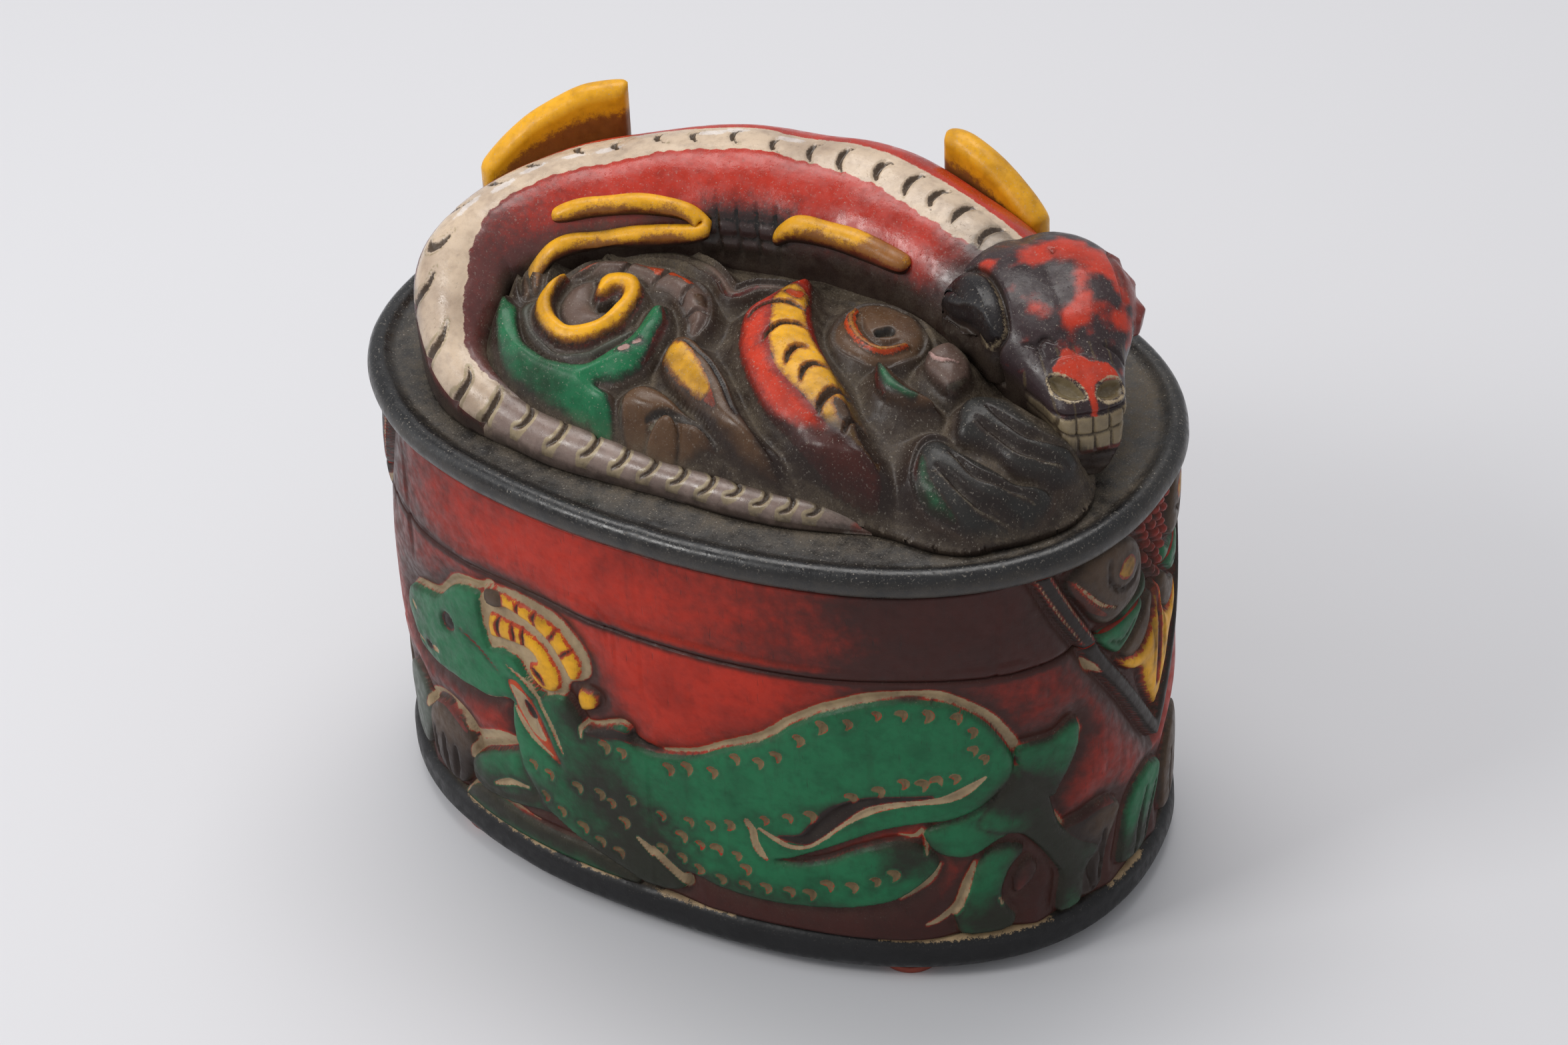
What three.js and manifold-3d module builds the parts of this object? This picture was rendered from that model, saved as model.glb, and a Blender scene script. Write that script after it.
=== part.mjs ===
// Carved and lacquered wooden box: an oval hollowed body on four low feet, and a lift-off lid
// that carries a long-tailed beast curled round a bed of scrolls.
// Millimetres, +Z up. The origin is on the standing surface, under the middle of the oval.
// X runs along the oval, and -Y is the front, where the tail lies along the rim.

import * as THREE from 'three';
import { mergeVertices } from 'three/addons/utils/BufferGeometryUtils.js';
import Module from 'manifold-3d';

const wasm = await Module();
wasm.setup();

// Driving dimensions of the oval box

const boxLength = 150;
const boxWidth = 102.4;
const planPower = 2.3;
const footHeight = 2;
const footRadius = 6;
const footReach = 0.9;
const baseThickness = 7.3;
const bodyHeight = 58;
const skirtHeight = 18.6;
const boardThickness = 3.5;
const rimRise = 1.5;
const baseInset = 1.2;
const wallInset = 1.2;
const wallThickness = 8;
const lipThickness = 3.4;
const lipHeight = 4.6;

// Clearances

const seatGap = 0.3;
const seamGap = 0.4;
const lipClearance = 0.4;

// Lid carving, with its heights measured up from the flat of the lid board

const bodyRise = 33.5;
const tailRise = 7.8;
const bodyHalfWidth = 15;
const tailHalfWidth = 4;
const bedRise = 17.5;
const scrollRise = 20;
const scrollHalfWidth = 8;
const scrollCrown = 5;
const ballRadius = 4.8;
const legHalfWidth = 2.7;
const headLength = 38;
const headHalfWidth = 13.5;
const snoutHalfWidth = 8;
const headRise = 28.5;
const snoutRise = 19.5;
const chinRise = 5.5;
const headTurn = -45;
const toothGap = 0.5;
const toothCount = 5;
const groundDepth = 1.3;
const groundSlope = 3.2;

// Levels worked out from the sizes above

const baseBottom = footHeight;
const baseTop = baseBottom + baseThickness;
const wallBottom = baseTop + seatGap;
const seam = wallBottom + bodyHeight;
const skirtBottom = seam + seamGap;
const skirtTop = skirtBottom + skirtHeight;
const boardBottom = skirtTop + seatGap;
const boardTop = boardBottom + boardThickness;
const rimCrest = boardTop + rimRise;
const carvingSeat = boardTop + seatGap;
const lipTop = seam + lipHeight;
const bodyInnerInset = wallInset + wallThickness;
const lipOuterInset = bodyInnerInset - lipThickness;

// Lacquer and wood colours

function lacquer(color, roughness) {
  return new THREE.MeshStandardMaterial({ color, roughness, metalness: 0 });
}

const black = () => lacquer(0x15130f, 0.4);
const red = () => lacquer(0xa3200c, 0.45);
const darkRed = () => lacquer(0x5a1a12, 0.5);
const green = () => lacquer(0x0f5a36, 0.5);
const yellow = () => lacquer(0xd99a0a, 0.45);
const umber = () => lacquer(0x4a2f18, 0.6);

// Solids from geometry: merged vertices, no slivers, faces outwards

function signedVolume(position, index) {
  const a = new THREE.Vector3();
  const b = new THREE.Vector3();
  const c = new THREE.Vector3();
  let total = 0;
  for (let i = 0; i < index.length; i += 3) {
    a.fromBufferAttribute(position, index[i]);
    b.fromBufferAttribute(position, index[i + 1]);
    c.fromBufferAttribute(position, index[i + 2]);
    total += a.dot(b.cross(c));
  }
  return total / 6;
}

function solid(geometry) {
  const plain = geometry.clone();
  plain.deleteAttribute('normal');
  plain.deleteAttribute('uv');
  const merged = mergeVertices(plain, 1e-4);
  const source = Array.from(merged.index.array);
  const corners = [];
  for (let i = 0; i < source.length; i += 3) {
    const [a, b, c] = source.slice(i, i + 3);
    if (a !== b && b !== c && c !== a) corners.push(a, b, c);
  }
  if (signedVolume(merged.attributes.position, corners) < 0) corners.reverse();
  return new wasm.Manifold(new wasm.Mesh({
    numProp: 3,
    vertProperties: new Float32Array(merged.attributes.position.array),
    triVerts: new Uint32Array(corners),
  }));
}

function node(name, body, material) {
  const shape = body.getMesh();
  const geometry = new THREE.BufferGeometry();
  geometry.setAttribute('position', new THREE.BufferAttribute(shape.vertProperties, shape.numProp));
  geometry.setIndex(new THREE.BufferAttribute(shape.triVerts, 1));
  geometry.computeVertexNormals();
  const mesh = new THREE.Mesh(geometry, material);
  mesh.name = name;
  return mesh;
}

function block(width, depth, height, x, y, bottom) {
  const geometry = new THREE.BoxGeometry(width, depth, height);
  geometry.translate(x, y, bottom + height / 2);
  return solid(geometry);
}

// The oval: a superellipse, with mouldings drawn as [inset from the outline, height]

const planSegments = 56;
const weldReach = 0.002;

function ovalPoint(angle, inset) {
  const c = Math.cos(angle);
  const s = Math.sin(angle);
  const a = boxLength / 2;
  const b = boxWidth / 2;
  const x = a * Math.sign(c) * Math.abs(c) ** (2 / planPower);
  const y = b * Math.sign(s) * Math.abs(s) ** (2 / planPower);
  const normal = new THREE.Vector2(
    Math.sign(x) * Math.abs(x / a) ** (planPower - 1) / a,
    Math.sign(y) * Math.abs(y / b) ** (planPower - 1) / b,
  ).normalize();
  return new THREE.Vector2(x, y).addScaledVector(normal, -inset);
}

// A profile is spun as a lathe would, then each ring is laid on the oval at its inset.
// An inset of axis stands for a point on the middle line.

const axis = boxLength;

function moulding(profile) {
  const points = profile.map(([inset, z]) => new THREE.Vector2(axis - inset, z));
  const geometry = new THREE.LatheGeometry(points, planSegments);
  const position = geometry.attributes.position;
  for (let i = 0; i < position.count; i += 1) {
    const radius = Math.hypot(position.getX(i), position.getZ(i));
    const angle = Math.atan2(position.getX(i), position.getZ(i));
    const height = position.getY(i);
    const place = radius < 1e-6 ? new THREE.Vector2(0, 0) : ovalPoint(angle, axis - radius);
    position.setXYZ(i, place.x, place.y, height);
  }
  return solid(geometry);
}

// Base: a black board with a rounded edge and a narrow ledge under the wall

const edgeRound = baseThickness / 2.6;

const baseBoard = moulding([
  [axis, baseBottom],
  [baseInset + edgeRound, baseBottom],
  [baseInset + edgeRound * 0.35, baseBottom + edgeRound * 0.28],
  [baseInset, baseBottom + edgeRound],
  [baseInset, baseTop - edgeRound * 0.5],
  [baseInset + edgeRound * 0.15, baseTop - edgeRound * 0.15],
  [baseInset + edgeRound * 0.5, baseTop],
  [axis, baseTop],
]);

function foot(angle) {
  const middle = ovalPoint(angle, baseInset + edgeRound * 0.6 + footRadius);
  const height = footHeight - seatGap;
  const geometry = new THREE.CylinderGeometry(footRadius, footRadius * footReach, height, 24);
  geometry.rotateX(Math.PI / 2);
  geometry.translate(middle.x, middle.y, height / 2);
  return solid(geometry);
}

// Body: the hollowed wall with a locating lip left standing inside its top edge

const plainWall = moulding([
  [wallInset, wallBottom],
  [wallInset, seam],
  [lipOuterInset, seam],
  [lipOuterInset, lipTop - lipThickness / 6],
  [lipOuterInset + lipThickness / 6, lipTop],
  [bodyInnerInset, lipTop],
  [bodyInnerInset, wallBottom],
  [wallInset, wallBottom],
]);

// Sunk relief: the ground is cut away round a long-backed creature, once on each half of the wall.
// Outlines are drawn on the unrolled wall. Each place is a share of the box's length, measured round
// the wall from the middle of the front, and a share of the body's height.

const creature = [
  [-0.418, 0.60], [-0.385, 0.72], [-0.31, 0.79], [-0.24, 0.92], [-0.20, 0.975], [-0.12, 0.96],
  [-0.075, 0.83], [-0.095, 0.69], [-0.083, 0.57], [-0.03, 0.625], [0.00, 0.565], [0.08, 0.62],
  [0.17, 0.77], [0.26, 0.91], [0.345, 0.935], [0.41, 0.85], [0.445, 0.69], [0.525, 0.745],
  [0.505, 0.50], [0.51, 0.36], [0.56, 0.375], [0.60, 0.28], [0.565, 0.03], [0.50, 0.03],
  [0.465, 0.345], [0.43, 0.19], [0.44, 0.03], [0.38, 0.03], [0.40, 0.33], [0.34, 0.41],
  [0.345, 0.28], [0.27, 0.12], [0.04, 0.10], [0.00, 0.03], [-0.13, 0.135], [-0.27, 0.085],
  [-0.255, 0.255], [-0.195, 0.34], [-0.197, 0.52], [-0.385, 0.48],
];
const bellyFold = [[0.14, 0.34], [0.17, 0.265], [0.28, 0.39], [0.23, 0.43]];
const forePaw = [[-0.385, 0.06], [-0.38, 0.25], [-0.33, 0.325], [-0.285, 0.30], [-0.30, 0.06]];
const rightFan = [[0.605, 0.03], [0.625, 0.27], [0.665, 0.315], [0.71, 0.26], [0.67, 0.03]];
const ground = [
  [-0.44, 0.06], [-0.46, 0.60], [-0.39, 0.78], [-0.28, 0.93], [-0.09, 0.93], [-0.05, 0.75],
  [0.01, 0.65], [0.10, 0.71], [0.22, 0.92], [0.38, 0.93], [0.44, 0.80], [0.56, 0.76],
  [0.56, 0.46], [0.72, 0.36], [0.70, 0.06],
];

function wallShape(outline) {
  const places = outline.map(([u, v]) => new THREE.Vector2(u * boxLength, wallBottom + v * bodyHeight));
  return new THREE.Shape(places);
}

function standing(outline) {
  const reach = groundDepth + groundSlope;
  const geometry = new THREE.ExtrudeGeometry(wallShape(outline), { depth: reach * 2, bevelEnabled: false });
  geometry.translate(0, 0, -reach);
  return solid(geometry);
}

function sunkGround() {
  const figures = [creature, forePaw, rightFan].map(standing);
  const field = solid(new THREE.ExtrudeGeometry(wallShape(ground), {
    depth: groundDepth,
    bevelThickness: groundDepth,
    bevelSize: groundSlope,
    bevelSegments: 1,
  }));
  return without(field, ...figures).add(standing(bellyFold).intersect(field));
}

// The unrolled ground is cut into strips, one for each facet of the wall. Each strip is bent to its
// facet, and the faces where two strips meet are left out, so that together they are one body.

function facetLines() {
  const lines = [{ walked: 0, angle: -Math.PI / 2 }];
  for (let i = 1; i <= planSegments / 2; i += 1) {
    const { walked, angle } = lines.at(-1);
    const next = angle + Math.PI * 2 / planSegments;
    const chord = ovalPoint(angle, wallInset).distanceTo(ovalPoint(next, wallInset));
    lines.push({ walked: walked + chord, angle: next });
  }
  const mirrored = lines.slice(1).map(({ walked, angle }) => ({ walked: -walked, angle: -Math.PI - angle }));
  return [...mirrored.reverse(), ...lines];
}

function welded(places, corner) {
  const known = places.find((place) => place.distanceTo(corner) < weldReach);
  if (!known) places.push(corner);
  return known ?? corner;
}

// Corners that one strip has along a facet line are given to the face of its neighbour too

function stitched(face, places, walked) {
  const onLine = ({ x }) => x === walked;
  const first = face.findIndex((corner, i) => onLine(corner) && onLine(face[(i + 1) % 3]));
  if (first < 0) return face;
  const [a, b, c] = [0, 1, 2].map((step) => face[(first + step) % 3]);
  const edge = new THREE.Line3(a, b);
  const between = places.filter((place) => onLine(place) && place !== a && place !== b
    && edge.closestPointToPoint(place, true, new THREE.Vector3()).distanceTo(place) < weldReach);
  const row = [a, ...between.sort((p, q) => p.distanceTo(a) - q.distanceTo(a)), b];
  return row.slice(1).flatMap((corner, i) => [row[i], corner, c]);
}

function stripFaces(field, places, from, to) {
  const width = to.walked - from.walked;
  const strip = block(width, lipTop * 2, lipTop, from.walked + width / 2, 0, -lipTop / 2);
  const { vertProperties, triVerts, numProp } = field.intersect(strip).getMesh();
  const faces = [];
  for (let k = 0; k < triVerts.length; k += 3) {
    const face = Array.from(triVerts.subarray(k, k + 3), (i) => {
      const corner = new THREE.Vector3(...vertProperties.subarray(i * numProp, i * numProp + 3));
      const line = [from, to].find(({ walked }) => Math.abs(corner.x - walked) < weldReach);
      if (line) corner.setX(line.walked);
      return welded(places, corner);
    });
    const meets = ({ walked }) => face.every(({ x }) => x === walked);
    if (!meets(from) && !meets(to)) faces.push(face);
  }
  return faces;
}

function bent(field) {
  const places = [];
  const lines = facetLines();
  const strips = lines.slice(1).map((to, i) => stripFaces(field, places, lines[i], to));
  const laid = [];
  strips.forEach((faces, i) => {
    const [from, to] = [lines[i], lines[i + 1]];
    const corners = faces.flatMap((face) => stitched(face, places, from.walked));
    for (let k = 0; k < corners.length; k += 3) {
      for (const { x, y, z } of stitched(corners.slice(k, k + 3), places, to.walked)) {
        const share = (x - from.walked) / (to.walked - from.walked);
        const place = ovalPoint(from.angle, wallInset - z).lerp(ovalPoint(to.angle, wallInset - z), share);
        laid.push(place.x, place.y, y);
      }
    }
  });
  const geometry = new THREE.BufferGeometry();
  geometry.setAttribute('position', new THREE.Float32BufferAttribute(laid, 3));
  return geometry;
}

function carvedWall() {
  const near = bent(sunkGround());
  const far = near.clone().rotateZ(Math.PI);
  return without(plainWall, solid(near), solid(far));
}

const boxWall = carvedWall();

// Lid: the skirt is rebated over the lip, and the moulded board closes it

const rebateTop = lipTop + seamGap;

const lidSkirt = moulding([
  [wallInset, skirtBottom],
  [wallInset, skirtTop],
  [bodyInnerInset, skirtTop],
  [bodyInnerInset, rebateTop],
  [lipOuterInset - lipClearance, rebateTop],
  [lipOuterInset - lipClearance, skirtBottom],
  [wallInset, skirtBottom],
]);

const rimThickness = boardThickness + rimRise;

function rimSlope(grow) {
  return [
    [rimThickness * 0.5 + grow, rimCrest + grow],
    [rimThickness * 0.72 + grow, rimCrest - rimRise * 0.3 + grow],
    [rimThickness * 0.92 + grow, boardTop + rimRise * 0.2 + grow],
    [rimThickness * 1.1 + grow, boardTop + grow],
  ];
}

const lidBoard = moulding([
  [axis, boardBottom],
  [rimThickness * 0.08, boardBottom],
  [0, boardBottom + rimThickness * 0.35],
  [rimThickness * 0.06, boardBottom + rimThickness * 0.7],
  [rimThickness * 0.24, boardBottom + rimThickness * 0.94],
  ...rimSlope(0),
  [axis, boardTop],
]);

// The space that the raised rim takes from whatever stands beside it

const rimSpace = moulding([
  [0, boardBottom],
  [0, rimCrest + seatGap],
  ...rimSlope(seatGap),
  [rimThickness * 1.1 + seatGap, boardBottom],
  [0, boardBottom],
]);

// Depth below the seat where the flanks of a member would meet, before it is cut flat

const undersideDepth = 12;

// Carved members: a capped cylinder is bent along a curve. Each station gives x, y, the height of
// its back over the lid board, its half width and the height of its rounded crown.

const underside = block(boxLength * 2, boxLength * 2, boxLength, 0, 0, carvingSeat - boxLength);

function member(stations, { sides = 14, steps = 24, grow = 0, flare = 0.4, deep = true } = {}) {
  const spine = new THREE.CatmullRomCurve3(
    stations.map(([x, y, rise]) => new THREE.Vector3(x, y, boardTop + rise)),
  );
  const girth = new THREE.CatmullRomCurve3(
    stations.map(([, , , half, crown]) => new THREE.Vector3(half, crown ?? half, 0)),
  );
  const geometry = new THREE.CylinderGeometry(1, 1, 1, sides, steps);
  const position = geometry.attributes.position;
  const floor = carvingSeat - undersideDepth;
  for (let i = 0; i < position.count; i += 1) {
    const t = position.getY(i) + 0.5;
    const across = position.getX(i);
    const up = position.getZ(i);
    const centre = spine.getPoint(t);
    const along = spine.getTangent(t).setZ(0).normalize();
    const size = girth.getPoint(t);
    const half = Math.max(size.x, 0.2) + grow;
    const crown = Math.max(size.y, 0.2) + grow;
    const middle = centre.z + grow - crown;
    const spread = up < 0 && deep ? Math.sign(across) * Math.abs(across) ** flare : across;
    const drop = deep ? middle - floor : crown;
    const height = middle + (up < 0 ? drop : crown) * up;
    const end = t < 1e-6 ? -grow : t > 1 - 1e-6 ? grow : 0;
    position.setXYZ(
      i,
      centre.x - along.y * spread * half + along.x * end,
      centre.y + along.x * spread * half + along.y * end,
      height,
    );
  }
  return solid(geometry).subtract(underside);
}

// Places on the lid are shares of the half length and the half width of the oval

function at(u, v) {
  return [u * boxLength / 2, v * boxWidth / 2];
}

function mix(low, high, share) {
  return low + (high - low) * share;
}

function without(body, ...neighbours) {
  return neighbours.reduce((rest, other) => rest.subtract(other), body);
}

// Beast: one tapering roll from the neck, round the back and left end, to the tail along the front.
// Each row gives the place, then shares from tail to body of the height and of the half width.

const beastLine = [
  [0.60, 0.22, 0.70, 0.70],
  [0.48, 0.36, 0.78, 0.86],
  [0.23, 0.47, 0.94, 0.95],
  [0.00, 0.47, 1.00, 1.00],
  [-0.25, 0.377, 1.00, 0.95],
  [-0.473, 0.215, 0.94, 0.86],
  [-0.637, 0.00, 0.83, 0.71],
  [-0.704, -0.225, 0.67, 0.52],
  [-0.66, -0.47, 0.50, 0.35],
  [-0.533, -0.675, 0.31, 0.21],
  [-0.36, -0.775, 0.17, 0.10],
  [-0.16, -0.795, 0.07, 0.02],
  [0.073, -0.79, 0.01, -0.02],
  [0.296, -0.76, -0.04, -0.06],
  [0.44, -0.715, -0.09, -0.13],
  [0.553, -0.625, -0.24, -0.3],
];

function beastBody(grow = 0) {
  const stations = beastLine.map(([u, v, lift, girth]) => {
    const half = mix(tailHalfWidth, bodyHalfWidth, girth);
    return [...at(u, v), mix(tailRise, bodyRise, lift), half];
  });
  return member(stations, { sides: 14, steps: 47, grow });
}

// Head: a blunt wedge along its own line, from the nape to the snout

const headPlace = at(0.66, 0.18);
const headAngle = THREE.MathUtils.degToRad(headTurn);
const headAlong = new THREE.Vector2(Math.cos(headAngle), Math.sin(headAngle));
const headAcross = new THREE.Vector2(-headAlong.y, headAlong.x);

function onHead(share, side = 0) {
  const s = share * headLength;
  return [
    headPlace[0] + headAlong.x * s + headAcross.x * side,
    headPlace[1] + headAlong.y * s + headAcross.y * side,
  ];
}

const headLine = [
  [-0.42, 0.80, 0.45],
  [-0.28, 0.97, 0.85],
  [-0.08, 1.00, 1.00],
  [0.12, 0.93, 1.00],
  [0.30, 0.60, 0.55],
  [0.46, 0.18, 0.15],
  [0.56, 0.00, 0.00],
  [0.60, -0.50, -0.20],
];

function headBlank(grow = 0) {
  const stations = headLine.map(([share, lift, girth]) => {
    const half = mix(snoutHalfWidth, headHalfWidth, girth);
    return [...onHead(share), mix(snoutRise, headRise, lift), half, half * 0.8];
  });
  return member(stations, { sides: 18, steps: 18, grow, flare: 0.6 });
}

function pebble(place, bottom, radii, turn = 0) {
  const geometry = new THREE.SphereGeometry(1, 10, 7);
  geometry.scale(...radii);
  geometry.rotateZ(turn);
  geometry.translate(place[0], place[1], boardTop + bottom);
  return solid(geometry);
}

const eyeRadius = 5.2;
const eyeRise = 21.5;
const earLength = 9;
const earDrop = 3.5;
const nostrilRadius = 2.2;
const nostrilDrop = 4.4;

function turnedBlock(length, width, height, share, side, rise) {
  const geometry = new THREE.BoxGeometry(length, width, height);
  geometry.rotateZ(headAngle);
  const [x, y] = onHead(share, side);
  geometry.translate(x, y, boardTop + rise);
  return solid(geometry);
}

function beastHead(grow = 0) {
  let head = headBlank(grow);
  for (const side of [-1, 1]) {
    const place = onHead(0.02, side * (headHalfWidth - eyeRadius * 0.35));
    const radii = [eyeRadius + grow, eyeRadius * 0.7 + grow, eyeRadius * 0.8 + grow];
    head = head.add(pebble(place, eyeRise, radii, headAngle));
    const ear = onHead(-0.08, side * (headHalfWidth - 1));
    const lobe = [earLength / 2 + grow, earLength / 3 + grow, earLength * 0.36 + grow];
    head = head.add(pebble(ear, eyeRise - earDrop, lobe, headAngle - side * 0.5));
  }
  const throat = headLength * 0.8;
  const clear = chinRise - grow;
  return head.subtract(turnedBlock(throat, headHalfWidth * 4, clear * 2, 0.55, 0, 0));
}

// Mouth: a closed row of square teeth across the blunt end of the snout, under two nostrils

const toothHeight = 4.6;
const toothDepth = 0.9;
const mouthRise = 10.2;

function carvedHead() {
  let head = beastHead();
  for (const side of [-1, 1]) {
    const place = onHead(0.555, side * snoutHalfWidth * 0.5);
    const radii = [nostrilRadius * 0.8, nostrilRadius * 1.2, nostrilRadius * 0.75];
    head = head.subtract(pebble(place, snoutRise - nostrilDrop, radii, headAngle));
  }
  const pitch = snoutHalfWidth * 1.7 / toothCount;
  for (let i = 0; i <= toothCount; i += 1) {
    const side = (i - toothCount / 2) * pitch;
    head = head.subtract(turnedBlock(toothDepth * 6, toothGap, toothHeight, 0.6, side, mouthRise));
  }
  const lips = [mouthRise - toothHeight / 2, mouthRise + toothHeight / 2];
  for (const rise of lips) {
    head = head.subtract(turnedBlock(toothDepth * 6, snoutHalfWidth * 2, toothGap, 0.6, 0, rise));
  }
  return head;
}

// Legs: two folded against the near flank, and two that stand up behind the far flank.
// Each row gives the place, then a share of the body's rise.

const nearHindLine = [
  [-0.54, -0.08, 0.84], [-0.44, 0.0, 0.88], [-0.33, 0.07, 0.90], [-0.235, 0.11, 0.866],
  [-0.20, 0.10, 0.80], [-0.30, 0.03, 0.755], [-0.43, -0.05, 0.73], [-0.52, -0.15, 0.67],
  [-0.555, -0.24, 0.52],
];
const nearForeLine = [
  [-0.05, 0.19, 0.76], [0.0, 0.20, 0.83], [0.09, 0.215, 0.836], [0.19, 0.215, 0.815], [0.30, 0.20, 0.79],
];
const farHindLine = [[-0.87, 0.24, 0.60], [-0.77, 0.37, 0.85], [-0.67, 0.49, 0.985], [-0.58, 0.57, 1.01]];
const farForeLine = [[0.21, 0.76, 1.015], [0.27, 0.74, 1.0], [0.38, 0.70, 0.91], [0.50, 0.63, 0.746]];

function leg(line, deep, grow = 0) {
  const stations = line.map(([u, v, lift]) => [...at(u, v), bodyRise * lift, legHalfWidth, legHalfWidth]);
  return member(stations, { sides: 10, steps: line.length * 2, grow, deep });
}

// Bed: a low mound that fills the curl of the beast and carries the scrolls. Each row gives the
// place, then a share of the bed's rise and of the box's width.

const bedLine = [
  [-0.62, -0.26, 0.40, 0.05], [-0.46, -0.25, 0.80, 0.195], [-0.16, -0.14, 1.00, 0.322],
  [0.13, -0.12, 1.00, 0.342], [0.38, -0.16, 0.85, 0.273], [0.55, -0.18, 0.62, 0.166], [0.67, -0.14, 0.40, 0.05],
];

function scrollBed(grow = 0) {
  const stations = bedLine.map(([u, v, lift, girth]) => [
    ...at(u, v), bedRise * lift, boxWidth * girth, bedRise * lift * 0.8,
  ]);
  return member(stations, { sides: 20, steps: 16, grow });
}

// Scrolls: a serpent, a spiral, leaves and curls, each seated on the bed. Each row gives the place,
// then a share of the scrolls' rise and of their half width.

const serpentLine = [
  [0.04, 0.08, 0.98, 0.50], [0.09, -0.10, 1.06, 0.84], [0.16, -0.32, 1.04, 0.94],
  [0.27, -0.46, 0.88, 0.84], [0.37, -0.52, 0.74, 0.62], [0.45, -0.56, 0.60, 0.35],
];
const wingLine = [
  [-0.16, -0.26, 0.90, 0.33], [-0.155, -0.46, 0.88, 0.50], [-0.215, -0.61, 0.80, 0.66],
  [-0.33, -0.63, 0.77, 0.72], [-0.45, -0.53, 0.77, 0.70], [-0.53, -0.38, 0.73, 0.48],
];
const leafLine = [
  [-0.085, -0.38, 0.96, 0.25], [-0.01, -0.46, 0.92, 0.45], [0.08, -0.57, 0.80, 0.45],
  [0.17, -0.645, 0.62, 0.35], [0.26, -0.665, 0.50, 0.18],
];
const archLine = [
  [-0.44, -0.14, 0.82, 0.28], [-0.38, -0.07, 0.97, 0.34], [-0.24, -0.06, 1.02, 0.38], [-0.10, -0.16, 1.0, 0.36],
];
const clusterLine = [
  [0.53, -0.36, 0.34, 0.50], [0.60, -0.34, 0.52, 1.00], [0.70, -0.26, 0.60, 1.25],
  [0.79, -0.14, 0.55, 1.00], [0.85, 0.00, 0.36, 0.38],
];
const smallLeafLine = [[0.36, -0.21, 0.82, 0.12], [0.44, -0.27, 0.88, 0.36], [0.52, -0.28, 0.74, 0.15]];

// The edge of the bed stands this high, so a scroll's underside starts inside it

const bedEdge = 2.8;
const bedUnderside = block(boxLength * 2, boxLength * 2, boxLength, 0, 0, carvingSeat + bedEdge - boxLength);

function scroll(line, grow = 0, steps = 16) {
  const stations = line.map(([u, v, lift, girth]) => {
    const half = scrollHalfWidth * girth;
    return [...at(u, v), scrollRise * lift, half, Math.min(half, scrollCrown)];
  });
  return member(stations, { sides: 12, steps, grow }).subtract(bedUnderside);
}

function spiral({ place, reach, turns, start, lift, girth }, grow = 0) {
  const count = Math.round(turns * 8);
  const half = scrollHalfWidth * girth;
  const outer = boxWidth * reach;
  const inner = outer / 4;
  const stations = [];
  for (let i = 0; i <= count; i += 1) {
    const t = i / count;
    const angle = start + t * turns * Math.PI * 2;
    const radius = mix(outer, inner, t);
    const x = place[0] + Math.cos(angle) * radius;
    const y = place[1] + Math.sin(angle) * radius;
    const rise = scrollRise * mix(lift[0], lift[1], t);
    stations.push([x, y, rise, mix(half * 0.5, half, Math.min(t * 3, 1))]);
  }
  return member(stations, { sides: 8, steps: count * 2, grow });
}

const bigSpiralStart = 2.6;
const smallSpiralStart = 2.4;

const bigSpiral = (grow = 0) => spiral({
  place: at(-0.35, -0.31), reach: 0.078, turns: 1.3, start: bigSpiralStart, lift: [0.90, 1.03], girth: 0.26,
}, grow);
const smallSpiral = (grow = 0) => spiral({
  place: at(0.31, -0.05), reach: 0.06, turns: 1.1, start: smallSpiralStart, lift: [0.92, 1.02], girth: 0.21,
}, grow);

function curlBall(grow = 0) {
  const radii = [ballRadius, ballRadius * 0.92, ballRadius * 1.17].map((radius) => radius + grow);
  return pebble(at(-0.045, -0.67), scrollRise * 0.47, radii).subtract(bedUnderside);
}

// The knob stands beside the cheek. Each row gives its place as a share of the head's length and of
// its half width, then shares of the scrolls' rise and half width.

const knobLine = [[-0.02, -1.50, 0.78, 0.28], [0.05, -1.28, 0.95, 0.54], [0.12, -1.06, 0.82, 0.28]];

function knob(grow = 0) {
  const stations = knobLine.map(([share, side, lift, girth]) => {
    const half = scrollHalfWidth * girth;
    return [...onHead(share, side * headHalfWidth), scrollRise * lift, half, half];
  });
  return member(stations, { sides: 12, steps: 8, grow }).subtract(bedUnderside);
}

// Assembly: the standing box, and the lid that lifts off it

const bodyGroup = new THREE.Group();
bodyGroup.add(node('base_board', baseBoard, black()));
bodyGroup.add(node('box_wall', boxWall, red()));
const footTurn = 0.95;
const footAngles = {
  front_right: -footTurn,
  back_right: footTurn,
  back_left: Math.PI - footTurn,
  front_left: Math.PI + footTurn,
};
for (const [corner, angle] of Object.entries(footAngles)) {
  bodyGroup.add(node(`foot_${corner}`, foot(angle), darkRed()));
}

const beast = without(beastBody(), rimSpace);
const beastSeat = beastBody(seatGap);
const headSeat = beastHead(seatGap);
const bedSeat = scrollBed(seatGap);
const nearHind = without(leg(nearHindLine, false), beastSeat);
const nearHindSeat = leg(nearHindLine, false, seatGap);
const nearFore = without(leg(nearForeLine, false), beastSeat, headSeat);
const nearForeSeat = leg(nearForeLine, false, seatGap);
const around = [beastSeat, headSeat, nearHindSeat, nearForeSeat];

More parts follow.
